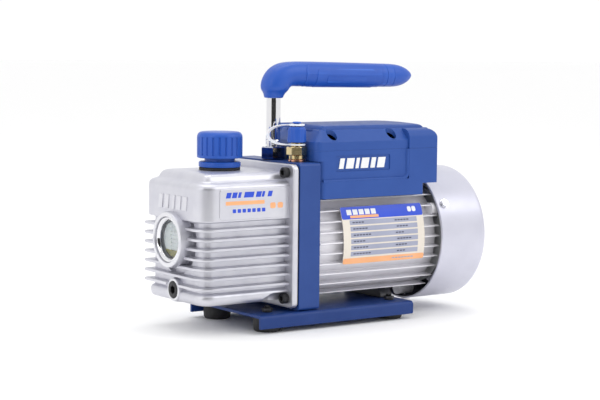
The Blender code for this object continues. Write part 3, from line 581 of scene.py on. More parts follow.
def make_stud(number, at):
    """A threaded stud with its washer and chamfered nut."""
    rings = [(4.6, 2.3), (15.35, 2.3), (15.4, 3.9), (16.0, 3.9), (16.05, 3.3, hexagon), (16.4, 4.0, hexagon)]
    rings += [(18.2, 4.0, hexagon), (18.6, 3.4, hexagon), (18.62, 2.3)]
    rings += [*thread(18.7, 0.5, 3, ((0, 2.5), (0.25, 2.15))), (20.2, 1.9)]
    stud = turned(f"foot_stud_threaded_{number}", rings, "Z", at, 36)
    finish_piece(stud, "black_oxide", f"foot_stud_{number}", slot="steel")


def make_rear_support():
    low, high = span("rear_motor_support")
    outline = [(-26, low.z), (26, low.z), (26, low.z + 2.6), (22, high.z), (-22, high.z), (-26, low.z + 2.6)]
    support = prism("rear_support_cast", outline, "X", low.x, high.x)
    cut(support, rod("saddle", "X", (0, SHAFT_Z), 40, 70, CORE_RADIUS + 0.3, 96))
    bevel(support, 0.5, angle=38)
    finish_piece(support, "black_oxide", "rear_motor_support", slot="cast_aluminium")


# ---- bracket ----


def make_bracket():
    half = BRACKET_HIGH.y
    outline = rounded((-half, half), (BRACKET_LOW.z, BRACKET_HIGH.z), 3.0, 6)
    bracket = prism("pump_bracket_cast", outline, "X", BRACKET_LOW.x, BRACKET_HIGH.x)
    centre = (0, SHAFT_Z)
    tools = [
        rod("shaft_bore", "X", centre, -60, -20, 9.0, 48),
        rod("bearing_seat", "X", centre, -40.2, -20, 15.7, 64),
        rod("post_bore", "Z", (POST_X, 0), 117.5, 140, 6.1, 40),
        rod("intake_bore", "Z", INTAKE, 122, 140, 5.2, 40),
    ]
    tools += [rod("bolt_bore", "X", at, -60, -38, 2.8, 20) for at in bolt_places()]
    cut(bracket, *tools)
    bevel(bracket, 0.7, 3)
    finish_piece(bracket, "blue_paint", "pump_bracket")


def bolt_places():
    return [(y, z) for z in (BOLT_LOW, BOLT_HIGH) for y in (-BOLT_Y, BOLT_Y)]


# ---- oil tank ----


def plan(inset, far_corner=None, rear=-54.6, steps=10):
    """The tank seen from above, drawn in by an inset, from the flange round the front."""
    half = TANK_HALF_WIDTH - inset
    front = TANK_FRONT + inset
    near = max(TANK_NEAR_CORNER - inset, 5.0)
    far = max(TANK_FAR_CORNER - inset, 4.0) if far_corner is None else far_corner
    outline = [(rear, half), *arc((front + far, half - far), far, 90, 180, steps)]
    return outline + [*arc((front + near, near - half), near, 180, 270, steps), (rear, -half)]


# Up the outside of the tank, as (height, inset): its foot, the edge of one fin, and its shoulder
TANK_FOOT = (
    (24.2, 6.0), (24.5, 4.8), (25.3, 3.4), (26.8, 2.3), (29.0, 1.7), (31.2, 1.8), (32.8, 2.8), (33.8, 4.4),
    (34.6, 5.3),
)
TANK_FIN = ((-1.9, 5.4), (-1.6, 4.8), (-1.4, 3.2), (-1.25, 0.8), (-0.95, 0.2), (-0.4, 0.0))
TANK_SHOULDER = (
    (88.4, FIN_DEPTH), (89.6, 5.1), (90.2, 3.4), (90.45, 1.0), (90.8, 0.3), (91.5, 0.0), (115.4, 0.0),
    (117.0, 0.3), (118.3, 0.9), (119.4, 2.0), (120.2, 3.5), (120.7, 5.2), (121.1, 6.6), (121.7, 7.5),
    (122.7, 8.1), (124.2, 8.7), (125.5, 9.4), (126.5, 10.3), (127.2, 11.5), (127.7, 12.9), (127.95, 14.6),
    (TANK_ROOF, 16.4),
)


def tank_ring(z, inset, far_corner=None):
    return [(x, y, z) for x, y in plan(inset, far_corner)]


def tank_rings():
    """Rings up the outside of the casting. The fins' edges have a tighter far corner."""
    rings = [tank_ring(z, inset) for z, inset in TANK_FOOT]
    for z in FIN_Z:
        for sign, steps in ((1, TANK_FIN), (-1, reversed(TANK_FIN))):
            for lift, inset in steps:
                rings.append(tank_ring(z + sign * lift, inset, FIN_FAR_CORNER + inset if inset < 2 else None))
    return rings + [tank_ring(z, inset) for z, inset in TANK_SHOULDER]


def make_oil_tank():
    tank = solid("oil_tank_casting", tank_rings())
    half = BRACKET_HIGH.y
    drain, sight, cap = (0, DRAIN_Z), (0, SIGHT_Z), (CAP_X, 0)
    outline = rounded((-half, half), (FLANGE_BOTTOM, FLANGE_TOP), 5, 8)
    flange = bevel(prism("flange", outline, "X", FLANGE_FRONT, FLANGE_REAR), 1.1, 3)
    bezel = [(-130, 23.4), (-135.5, 23.0), (-141, 22.6), (-144.4, 22.3), (-145.2, 22.0), (-145.6, 21.2)]
    bezel += [(-145.6, 10)]
    boss = [(-128, 11.0), (-134, 10.2), (-137.6, 9.5), (-138.8, 9.1), (-139.2, 8.4), (-139.2, 3)]
    join(tank, flange, turned("bezel", bezel, "X", sight, 96), turned("drain_boss", boss, "X", drain, 48))
    levels = ((29.6, 10.6), (112, 10.6), (123.4, 15))
    cut(tank, solid("inside", [[(x, y, z) for x, y in plan(inset, rear=-48)] for z, inset in levels]))
    join(tank, rod("cap_boss", "Z", cap, 117.2, 126, 13.5, 40))
    cut(tank, *tank_tools(drain, sight, cap))
    finish_piece(tank, "cast_aluminium", "oil_tank", sharp=40)
    make_side_pads()
    make_front_relief()


def tank_tools(drain, sight, cap):
    """What is cut from the tank: the moat round its bezel, and its bores, seats and pockets."""
    moat = tube("moat", "X", sight, -141, -131.4, 28.3, 23.5, 96)
    cut(moat, box("fins_above", (-150, -120), (-40, 40), (88.6, 120)))
    cut(moat, *[box("fin", (-150, -120), (-40, 40), (z - 1.6, z + 1.6)) for z in FIN_Z])
    seat = [(-150, 19.2), (-145.4, 18.6), (-144.9, 18.2), (-138.6, 18.2), (-138.6, 14.6), (-125, 14.6)]
    tools = [
        rod("cap_bore", "Z", cap, 100, 140, 10.2, 40),
        turned("glass_seat", seat, "X", sight, 96),
        turned("drain_bore", [(-145, 7.2), (-131.2, 7.2), (-131.2, 4.3), (-120, 4.3)], "X", drain, 48),
        rod("drain_face", "X", drain, -150, -139.25, 9.8, 48),
        moat,
    ]
    tools += [rod("bolt_bore", "X", at, -70, -50, 2.8, 20) for at in bolt_places()]
    for y in (-BOLT_Y, BOLT_Y):
        pocket = [(-80, 2.0), (-74, 5.0), (-71, 5.6), (FLANGE_FRONT - 0.01, 5.6)]
        tools.append(turned("bolt_pocket", pocket, "X", (y, BOLT_LOW), 32))
    return tools


def make_side_pads():
    """The raised pad on each side of the tank above the fins."""
    for name, side in (("near", -1), ("far", 1)):
        outline = rounded((-124.0, -61.2), (PAD_LOW, PAD_HIGH), 3.0, 6)
        low, high = sorted((side * (TANK_HALF_WIDTH - 1.0), side * (TANK_HALF_WIDTH + 0.55)))
        pad = prism(f"tank_pad_{name}", outline, "Y", low, high)
        bevel(pad, 0.5, 3)
        finish_piece(pad, "cast_aluminium", sharp=40)


def make_front_relief():
    """Plain slanted bars cast into the front, above the sight glass."""
    bars = []
    for i, wide in enumerate((6.0, 6.0, 3.6, 6.0, 6.0)):
        outline = slanted(-22.0 + RELIEF_PITCH * i, wide, RELIEF_LEAN, RELIEF_LOW, RELIEF_HIGH)
        bar = prism("bar", outline, "X", TANK_FRONT - 0.7, TANK_FRONT + 0.6)
        bars.append(bevel(bar, 0.35))
    finish_piece(merged("tank_relief", bars), "cast_aluminium", sharp=40)


def knurl(angle):
    """Square-edged ridges round a bolt head."""
    return 1.0 if (angle / (2 * pi) * BOLT_KNURLS) % 1 < 0.5 else 0.965


def make_tank_bolts():
    """Socket-head cap screws with a knurled rim."""
    for number, at in enumerate(bolt_places(), 1):
        profile = [(-60.3, 2.1, hexagon), (-62.7, 2.1, hexagon), (-63.0, 2.4, hexagon), (-63.0, 3.5)]
        profile += [(-62.75, 3.95), (-62.4, 4.1), (-62.35, 4.25, knurl), (-58.6, 4.25, knurl), (-58.5, 4.1)]
        profile += [(-57.9, 4.1), (-57.9, 2.5), (-39.5, 2.5)]
        bolt = turned(f"tank_bolt_knurled_{number}", profile, "X", at, 72)
        finish_piece(bolt, "black_oxide", f"tank_bolt_{number}")


def make_sight_glass():
    centre = (0, SIGHT_Z)
    lens = [(-139.0, 17.4), (-139.2, 17.8), (-141.2, 17.8), (-141.5, 17.4), (-141.6, 12), (-141.6, 5)]
    finish_piece(turned("sight_lens", lens, "X", centre, 96), "sight_glass", "sight_glass_lens")
    ring = [(-141.9, 17.8), (-144.2, 17.9), (-144.4, 17.6), (-144.4, 16.8), (-144.0, 16.2), (-143.4, 15.8)]
    ring += [(-142.9, 15.2), (-142.3, 15.0), (-141.9, 15.1)]
    finish_piece(turned("sight_ring", ring, "X", centre, 96, loop=True), "chrome", "sight_glass_ring")
    disc = [(-138.3, 13.4), (-138.1, 14.1), (-135.4, 14.2), (-134.6, 13.4)]
    reflector = turned("reflector_disc", disc, "X", centre, 72)
    lines = [box("line", (-139, -137.6), (-8.5, 3), (z, z + 1.0)) for z in range(65, 86, 3)]
    cut(reflector, *lines)
    finish_piece(reflector, "white_plastic", "sight_glass_reflector")
    level = SIGHT_Z - OIL_BELOW_SIGHT
    outline = arc((0, SIGHT_Z), 13.9, 180 + 38, 360 - 38, 24)
    finish_piece(prism("oil_level", [(y, min(z, level)) for y, z in outline], "X", -138.55, -138.42), "oil")


def make_drain_plug():
    profile = [(-135.6, 2.9, hexagon), (-139.4, 3.0, hexagon), (-139.7, 3.4, hexagon), (-139.7, 6.0)]
    profile += [(-139.5, 6.6), (-139.0, 7.0), (-131.5, 7.0), (-131.5, 4.0), (-125.5, 4.0)]
    finish_piece(turned("drain_plug_socket", profile, "X", (0, DRAIN_Z), 48), "black_oxide", "drain_plug")


# ---- exhaust cap ----


def knob_groove(angle):
    """Narrow round-bottomed grooves between broad ribs."""
    turn = (angle / (2 * pi) * KNOB_GROOVES) % 1 - 0.5
    return 1 - 0.052 * exp(-((turn / 0.13) ** 4))


def make_exhaust_cap():
    centre = (CAP_X, 0)
    radius = half_width("exhaust_cap_hood")
    top = span("exhaust_cap_hood")[1].z
    gasket = washer("cap_gasket_ring", centre, 128.3, 130.2, 10.6, 16.7, (0.3, 0.4), 72)
    finish_piece(gasket, "black_rubber", "cap_gasket", body="cap_seal")
    stem = [(119, 9.2), (119.6, 9.6)]
    stem += thread(120.6, 1.5, 6, ((0, 9.6), (0.5, 9.0), (0.9, 9.0), (1.3, 9.6)))
    stem += [(130.4, 9.6), (130.4, 16.2), (130.7, 16.8), (131.4, 17.0), (133.6, 17.0), (134.4, 16.8)]
    stem += [(134.9, 16.2), (134.9, 12.8), (135.1, 12.3), (155.3, 12.3), (155.3, 6.2), (119, 6.2)]
    stem = turned("cap_stem", stem, "Z", centre, 72, loop=True)
    finish_piece(stem, "bright_blue_plastic", "exhaust_cap_stem", body="exhaust_cap")
    hood = [(137.8, 15.4), (137.8, radius - 0.8), (138.0, radius - 0.3), (138.5, radius), (140.2, radius)]
    hood += [(140.6, radius * 0.995, knob_groove), (141.0, radius, knob_groove), (153.8, radius, knob_groove)]
    hood += [(154.5, radius * 0.997, knob_groove), (154.9, radius * 0.996), (155.6, radius * 0.994)]
    hood += [(156.9, radius - 0.6), (158.0, radius - 1.5), (top - 0.25, radius - 2.6)]
    hood += [(top, radius - 3.8), (top, 9), (top - 0.02, 2.0), (top - 0.02, 0.6), (148, 0.6), (148, 5.9)]
    hood += [(155.6, 5.9), (155.6, 15.4)]
    hood = turned("cap_hood", hood, "Z", centre, KNOB_GROOVES * 16, loop=True)
    finish_piece(hood, "bright_blue_plastic", "exhaust_cap_hood", body="exhaust_cap")
    plug = turned("cap_hood_gate", [(147.99, 0.62), (top - 0.02, 0.62)], "Z", centre, 16)
    finish_piece(plug, "bright_blue_plastic", body="exhaust_cap")


# ---- handle ----


def grip_ring(inner, outer, half, power=0.62, count=48):
    """A rounded section between two points of the grip's side view, creased along its sides."""
    centre = [(a + b) / 2 for a, b in zip(inner, outer)]
    reach = [(b - a) / 2 for a, b in zip(inner, outer)]
    taper = 0.5 * (1 - power)
    ring = []
    for i in range(count):
        angle = 2 * pi * i / count
        lift = copysign(abs(cos(angle)) ** power, cos(angle))
        side = copysign(abs(sin(angle)) ** power, sin(angle)) * (1 - taper * abs(lift))
        ring.append((centre[0] + reach[0] * lift, half * side, centre[1] + reach[1] * lift))
    return ring


# Sections along the grip, as (inner point, outer point, half width, power), each point (x, z)
GRIP_SECTIONS = (
    ((-35.9, 185.2), (-51.1, 185.2), 7.6, 1.0),
    ((-35.6, 185.9), (-51.5, 186.1), 8.0, 1.0),
    ((-34.8, 188.4), (-51.8, 189.0), 8.6, 0.95),
    ((-33.0, 190.4), (-52.6, 190.9), 10.0, 0.85),
    ((-32.0, 191.7), (-53.4, 192.4), 11.4, 0.8),
    ((-31.4, 192.8), (-53.7, 196.2), 12.1, 0.75),
    ((-30.8, 193.6), (-52.0, 201.8), 12.3, 0.7),
    ((-30.0, 194.2), (-48.4, 207.2), 12.4, 0.66),
    ((-29.0, 194.6), (-43.4, 211.4), 12.4, 0.64),
    ((-27.6, 194.8), (-37.0, 214.2), 12.4, 0.62),
    ((-24.6, 194.9), (-29.0, 215.4), 12.4, 0.62),
    ((-14.0, 194.8), (-14.6, 215.5), 12.4, 0.62),
    ((10.0, 194.5), (10.0, 215.1), 12.4, 0.62),
    ((52.0, 194.0), (52.0, 214.2), 12.4, 0.62),
    ((72.0, 193.8), (72.0, 213.8), 12.4, 0.64),
    ((80.5, 193.8), (80.5, 213.5), 12.2, 0.68),
    ((87.0, 194.9), (87.4, 212.0), 11.4, 0.72),
    ((92.2, 197.0), (92.8, 209.8), 9.4, 0.78),
    ((96.2, 199.8), (96.8, 207.2), 6.6, 0.85),
    ((98.6, 202.4), (98.9, 205.2), 3.2, 0.95),
    ((99.1, 203.4), (99.1, 204.3), 1.0, 1.0),
)
GRIP_BAR = GRIP_SECTIONS[10:16]

# Raised pads on the grip's sides, as (x from, x to, z from, z to, corner, height)
GRIP_PADS = (
    (-18.6, 60.0, 189.0, 212.6, 5.0, 0.35),
    (-7.8, 53.0, 189.0, 209.4, 4.0, 0.75),
    (2.6, 43.0, 197.8, 202.6, 1.6, 1.10),
)


def raised_pad(x0, x1, z0, z1, corner, lift, side):
    """The part of a slightly larger grip that lies inside a rounded outline."""
    rings = []
    for inner, outer, half, power in GRIP_BAR:
        low, high = (inner[0], inner[1] - lift), (outer[0], outer[1] + lift)
        rings.append(grip_ring(low, high, half + lift, power, 96))
    outline = rounded((x0, x1), (z0, z1), corner)
    edge = prism("pad_edge", outline, "Y", *sorted((side * 4, side * 20)))
    return bevel(boolean(solid("grip_pad", rings), [edge], "INTERSECT"), 0.15, 1)


def make_grip():
    grip = solid("handle_grip_moulding", [grip_ring(*section) for section in GRIP_SECTIONS])
    step = grip.modifiers.new("Subdivision", "SUBSURF")
    step.levels = step.render_levels = 1
    bake(grip)
    tools = [rod("post_socket", "Z", (POST_X, 0), 180, 201.6, 6.1, 40)]
    tools += [seam_ring(x) for x in GRIP_SEAMS]
    cut(grip, *tools)
    finish_piece(grip, "bright_blue_plastic", "handle_grip", sharp=24)
    for name, side in (("near", -1), ("far", 1)):
        pads = merged(f"grip_pads_{name}", [raised_pad(*pad, side) for pad in GRIP_PADS])
        finish_piece(pads, "bright_blue_plastic", sharp=24)


def seam_ring(x):
    """A shallow line right round the grip."""
    rings = []
    for inset, along in ((0.35, x), (0.35, x + 0.6), (-2.0, x + 0.6), (-2.0, x)):
        low, high = (along, 194.4 + inset - 0.008 * along), (along, 214.9 - inset - 0.012 * along)
        rings.append(grip_ring(low, high, 12.4 - inset))
    return solid("seam", rings, loop=True)


def make_post():
    profile = [(118, 5.2), (119, 5.9), (143, 5.9)]
    profile += thread(145.0, 1.1, 5, ((0, 5.9), (0.4, 5.4), (0.8, 5.9)))
    profile += [(151.2, 5.5), (151.6, 5.9), (200.4, 5.9), (201.2, 5.2)]
    finish_piece(turned("handle_post_chromed", profile, "Z", (POST_X, 0), 64), "chrome", "handle_post")
    nut = [(135.1, 8.5, hexagon), (135.7, 9.4, hexagon), (144.8, 9.4, hexagon), (145.4, 8.6, hexagon)]
    nut += [(145.4, 6.4), (145.0, 6.1), (135.1, 6.1)]
    nut = turned("handle_nut_chamfered", nut, "Z", (POST_X, 0), 60, loop=True, turn=NUT_TURN)
    # The nut's darker chrome is a painted dark reflection
    finish_piece(nut, "chrome_painted_dark_reflection", "handle_nut")


# ---- intake ----


def dust_rib(angle):
    return 1 - 0.05 * (0.5 + 0.5 * cos(DUST_CAP_RIBS * angle)) ** 2


def make_intake():
    ring = washer("intake_washer_copper", INTAKE, 135.1, 136.7, 5.3, 6.9, (0.2, 0.3))
    finish_piece(ring, "copper", "intake_washer")
    body = [(122.6, 4.9), (136.9, 4.9), (136.9, 6.1), (137.2, 6.4), (139.9, 6.4), (140.1, 6.6, hexagon)]
    body += [(140.6, 7.1, hexagon), (146.5, 7.1, hexagon), (147.0, 6.6, hexagon), (147.2, 4.5), (150.0, 4.4)]
    body += thread(150.3, 1.05, 9, ((0, 5.2), (0.4, 4.8)))
    body += [(159.8, 5.2), (160, 4.6), (160, 2.2), (122.6, 2.2)]
    fitting = turned("intake_fitting_brass", body, "Z", INTAKE, 60, loop=True, turn=INTAKE_TURN)
    finish_piece(fitting, "brass", "intake_fitting")
    cap = [(160.4, 5.5), (150.6, 5.5), (150.6, 7.1), (150.9, 7.5), (151.4, 7.7, dust_rib)]
    cap += [(160.4, 7.4, dust_rib), (161.4, 7.1, dust_rib), (162.4, 6.6), (163.1, 6.0), (163.4, 5.2)]
    cap += [(163.4, 2.6), (163.8, 2.4), (165.7, 2.4), (165.9, 2.8), (166.0, 3.5), (166.5, 3.7), (167.0, 3.4)]
    cap += [(167.2, 2.6)]
    made = turned("dust_cap_ribbed", cap, "Z", INTAKE, 96)
    finish_piece(made, "bright_blue_plastic", "dust_cap", body="dust_cap")


def make_strap():
    """A flat band looped from a ring under the cap to a ring on the cap's pin."""
    band = join(strap_band(), washer("lower_ring", INTAKE, 148.0, 149.4, 4.7, 6.9),
                washer("upper_ring", INTAKE, 163.9, 165.3, 2.8, 6.4))
    smooth(band, 40)
    band.data.materials.append(LOOK["white_plastic"])
    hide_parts("dust_cap_strap")
    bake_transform(band)


def strap_band():
    """The band itself: half an upright ellipse about the intake, twisted most where it turns back."""
    along, across = STRAP_ALONG, Vector((-STRAP_ALONG.y, STRAP_ALONG.x, 0))
    centre = Vector((*INTAKE, 0))
    width, thickness = STRAP_HALF_WIDTH, STRAP_HALF_THICKNESS
    section = rounded((-width, width), (-thickness, thickness), 0.3, 3)
    rings = []
    for i in range(STRAP_STEPS + 1):
        angle = radians(-90 - 180 * i / STRAP_STEPS)
        reach = STRAP_NEAR + STRAP_REACH * abs(cos(angle)) ** 0.8
        out = (cos(angle), sin(angle))
        height = STRAP_MIDDLE + STRAP_RISE * sin(angle)
        twist = radians(STRAP_TWIST) * sin(pi * i / STRAP_STEPS)
        ring = []
        for wide, thin in section:
            side = wide * cos(twist) - thin * sin(twist)
            lift = wide * sin(twist) + thin * cos(twist)
            level = Vector((0, 0, height + lift * out[1]))
            ring.append(centre + along * (reach - lift * out[0]) + across * side + level)
        rings.append(ring)
    return solid("dust_cap_strap_band", rings)


# ---- motor ----


def fin_tip(height):
    """Half-width of the fins at a height above the shaft line."""
    bulge = FIN_REACH - FIN_ARC + sqrt(FIN_ARC**2 - height**2)
    return min(bulge, sqrt(FIN_LIMIT**2 - height**2))


def core_point(height, out=0.0):
    """A point on the housing's round core, or a little outside it."""
    return sqrt(CORE_RADIUS**2 - height**2) + out, height


def housing_side():
    """Points up one side of the housing: tapered fins on a round core, with small root fillets."""
    heights = [MOTOR_FIN_TOP - MOTOR_FIN_PITCH * i for i in reversed(range(MOTOR_FIN_COUNT))]
    side = []
    for height in heights:
        tip = fin_tip(abs(height) + 0.8)
        side += [core_point(height - 1.9), core_point(height - 1.2, 0.5)]
        side += [(tip - 0.8, height - 0.55), (tip - 0.2, height - 0.4), (tip, height)]
        side += [(tip - 0.2, height + 0.4), (tip - 0.8, height + 0.55)]
        side += [core_point(height + 1.2, 0.5), core_point(height + 1.9)]
        if height != heights[-1]:
            side += [core_point(height + MOTOR_FIN_PITCH * share) for share in (0.35, 0.5, 0.65)]
    return side


def make_housing():
    right = housing_side()
    top_angle = degrees(acos(right[-1][0] / CORE_RADIUS))
    bottom_angle = degrees(acos(right[0][0] / CORE_RADIUS))
    top = arc((0, 0), CORE_RADIUS, top_angle + 4, 176 - top_angle, 16)
    bottom = arc((0, 0), CORE_RADIUS, 184 + bottom_angle, 356 - bottom_angle, 8)
    outline = right + top + [(-y, z) for y, z in reversed(right)] + bottom
    outline = [(y, z + SHAFT_Z) for y, z in outline]
    housing = prism("motor_housing_finned", outline, "X", MOTOR_FRONT, HOUSING_REAR)
    cut(housing, rod("bore", "X", (0, SHAFT_Z), -40, 100, HOUSING_BORE, 96))
    ears = []
    for angle in COVER_SCREW_ANGLES:
        y, z = cos(radians(angle)), -sin(radians(angle))
        at = (y * EAR_CENTRE, SHAFT_Z + z * EAR_CENTRE)
        ears.append(rod("ear", "X", at, 88.5, 104.0, EAR_RADIUS, 32))
    join(housing, *ears)
    cut(housing, *[radial_rod(angle, COVER_SCREW_X, 46.5, 60, 1.9, 24) for angle in COVER_SCREW_ANGLES])
    finish_piece(housing, "motor_aluminium", "motor_housing", sharp=30)


def cover_curve(end, out, deep):
    """The fan cover's domed rear, from its side to the edge of its flat middle."""
    points = []
    for i in range(17):
        angle = pi / 2 * i / 16
        along = deep * sin(angle) ** 0.93
        points.append((end - deep + along, COVER_FLAT + (out - COVER_FLAT) * cos(angle) ** 0.93))
    return points


def make_fan_cover():
    """Spun sheet with a rolled front lip, a domed rear and rings of cooling slots."""
    front, rear, out, wall = COVER_LOW.x, COVER_HIGH.x, COVER_HIGH.y, COVER_WALL
    profile = [(front, out - wall), (front + 0.3, out - 0.4), (front + 0.8, out)]
    profile += cover_curve(rear, out, COVER_ROUNDING)
    disc = ((0.2, 39.8), (1.0, 38.6), (1.1, 37.8), (1.1, 13.0), (0.5, 12.0), (0.5, 0.8), (1.9, 0.8))
    disc += ((1.9, 12.0), (2.5, 13.0), (2.5, 37.8), (2.2, 39.4))
    profile += [(rear - ahead, radius) for ahead, radius in disc]
    profile += reversed(cover_curve(rear - wall, out - wall, COVER_ROUNDING - wall))
    profile += [(front + 1.0, out - wall)]
    cover = turned("fan_cover_spun", profile, "X", (0, SHAFT_Z), 160, loop=True)
    slots = []
    for radius, length, count in COVER_SLOTS:
        for i in range(count):
            slot = rounded_slot(radius - length / 2, radius + length / 2, 1.5)
            slots.append(turn_about_shaft(slot, 360 * i / count))
    slots += [radial_rod(angle, COVER_SCREW_X, 50, 60, 2.2, 24) for angle in COVER_SCREW_ANGLES]
    cut(cover, *slots)
    join(cover, rod("boss", "X", (0, SHAFT_Z), rear - 1.8, rear - 0.55, 1.2, 24))
    finish_piece(cover, "silver_paint", "fan_cover", sharp=32)
    # The inside faces get a dark material: painted shade in the cover's mouth
    paint_cover_inside_shade(cover, LOOK["cover_inside_painted_shade"])
    make_cover_screws()


def make_cover_screws():
    """Hexagon-head screws with a flange, set round the cover's front."""
    screw = [(48, 1.7), (57.7, 1.7), (57.7, 4.0), (58.2, 4.0), (58.25, 3.0, hexagon), (58.6, 3.4, hexagon)]
    screw += [(60.0, 3.4, hexagon), (60.4, 2.9, hexagon), (60.4, 1.8), (60.0, 1.5)]
    for number, angle in enumerate(COVER_SCREW_ANGLES, 1):
        made = turned(f"cover_screw_hex_{number}", screw, "Y", (COVER_SCREW_X, SHAFT_Z), 36)
        turn_about_shaft(made, angle)
        finish_piece(made, "chrome", f"fan_cover_screw_{number}")


def paint_cover_inside_shade(cover, material):
    """Gives the faces that look towards the shaft line a dark material: painted shade inside the cover's
    mouth.
    """
    cover.data.materials.append(material)
    for face in cover.data.polygons:
        outward = Vector((0, face.center.y, face.center.z - SHAFT_Z * MM)).normalized()
        if face.normal.dot(outward) < -0.5 and face.center.x < (COVER_HIGH.x - 3) * MM:
            face.material_index = 1


def rounded_slot(low, high, half):
    """A slot through the cover's rear face, along +Y from the shaft line."""
    outline = rounded((low, high), (SHAFT_Z - half, SHAFT_Z + half), half - 0.05, 5)
    return prism("slot", outline, "X", COVER_HIGH.x - 8, COVER_HIGH.x + 8)


def plate_point(height, gap):
    """A point on the bent name plate, height above the shaft line."""
    return FIN_ARC - FIN_REACH - sqrt((FIN_ARC + gap) ** 2 - height**2), SHAFT_Z + height


def bent_patch(name, x, heights, gap, thick, corner=0.8, steps=14):
    """A thin plate that follows the name plate's bend."""
    outline = rounded(x, heights, corner, 4)
    rings = []
    for column in sorted({round(a, 4) for a, _ in outline}):
        touching = [b for a, b in outline if abs(a - column) < 1e-4]
        low, high = min(touching), max(touching)
        levels = [low + (high - low) * i / steps for i in range(steps + 1)]
        ring = [(column, *plate_point(level, gap)) for level in levels]
        ring += [(column, *plate_point(level, gap + thick)) for level in reversed(levels)]
        rings.append(ring)
    return solid(name, rings)


def make_name_plate():
    """A foil plate with a blue head, grey rows and an orange foot. Its marks are plain bars."""
    x0, x1 = PLATE_LOW.x, PLATE_HIGH.x
    low, high = PLATE_FOOT, PLATE_HEAD
    plate = bent_patch("name_plate_foil", (x0, x1), (low, high), 0.3, 0.55, 1.6)
    finish_piece(plate, "label_foil", "name_plate", sharp=40)
    head = bent_patch("plate_head", (x0, x1), (high - 9.8, high), 0.86, 0.06, 1.6)
    finish_piece(head, "label_blue", sharp=40)
    foot = bent_patch("plate_foot", (x0, x1), (low, low + 4.8), 0.86, 0.06, 1.6)
    finish_piece(foot, "label_orange", sharp=40)
    rows, marks = [], []
    for i in range(6):
        top = high - 10.6 - PLATE_ROW_PITCH * i
        rows.append(bent_patch("row", (x0 + 7.3, x1 - 7.3), (top - 3.9, top), 0.86, 0.05, 0.3, 4))
        marks += dashes(x0 + 10.0, top - 1.95, 4 + i % 3, 2.4, 0.5)
        marks += dashes(x1 - 31.0 + 1.5 * (i % 2), top - 1.95, 5 - i % 3, 2.4, 0.5)
    finish_piece(merged("plate_rows", rows), "label_grey", sharp=40)
    finish_piece(merged("plate_marks", marks), "ink", sharp=40)
    blocks = [(x0 + 5.8 + 6.3 * i, 4.9, 0.3) for i in range(5)]
    blocks += [(x1 - 15.6, 4.0, 1.4), (x1 - 10.8, 4.0, 1.4)]
    light = []
    for start, wide, corner in blocks:
        heights = (high - 6.4, high - 2.2)
        light.append(bent_patch("block", (start, start + wide), heights, PRINT_GAP, 0.05, corner, 3))
    finish_piece(merged("plate_head_bars", light), "white_ink", sharp=40)
    heights = (high - 9.0, high - 6.9)
    bar = bent_patch("plate_head_stripe", (x0 + 8.7, x0 + 38.0), heights, PRINT_GAP, 0.05, 0.3, 3)
    finish_piece(bar, "label_orange", sharp=40)
    foot_marks = dashes(x1 - 34.0, low + 2.4, 7, 2.6, 0.5)
    finish_piece(merged("plate_foot_marks", foot_marks), "label_grey", sharp=40)


def dashes(x, height, count, wide, tall):
    """A row of short plain dashes, standing for small print without being readable."""
    made = []
    for i in range(count):
        start = x + i * (wide + 0.7)
        heights = (height - tall, height + tall)
        made.append(bent_patch("dash", (start, start + wide), heights, PRINT_GAP, 0.04, 0.2, 2))
    return made


def dress_carried_nodes():
    """The hidden turning and fixed motor parts keep their CAD shape, with a turned or wound finish."""
    for material, names in CARRIED.items():
        for name in names:
            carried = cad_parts[name]
            carried.data.materials.clear()
            carried.data.materials.append(LOOK[material])


# ---- terminal box ----


def box_plan(half, front, rear, inset=0.0, steps=5):
    """The box seen from above, with its far front corner cut away beside the handle post."""
    front, rear, half = front + inset, rear - inset, half - inset
    near, back = max(BOX_NEAR_CORNER - inset, 1.0), max(BOX_REAR_CORNER - inset, 1.0)
    outline = [*arc((rear - back, -half + back), back, -90, 0, steps)]
    outline += [*arc((rear - back, half - back), back, 0, 90, steps)]
    outline += [(-8 + inset * 0.6, half), (front, 12 - inset * 0.4)]
    return outline + [*arc((front + near, -half + near), near, 180, 270, steps)]


def box_layer(name, half, front, rear, low, high, inset=0.0):
    return prism(name, box_plan(half, front, rear, inset), "Z", low, high)


def box_screw_places():
    return [(x, y) for x in BOX_SCREW_X for y in (-BOX_SCREW_Y, BOX_SCREW_Y)]


def nut_relief():
    """Room for the corners of the handle nut beside the box."""
    return rod("nut_relief", "Z", (POST_X, 0), 134.9, 146.0, 11.4, 64)


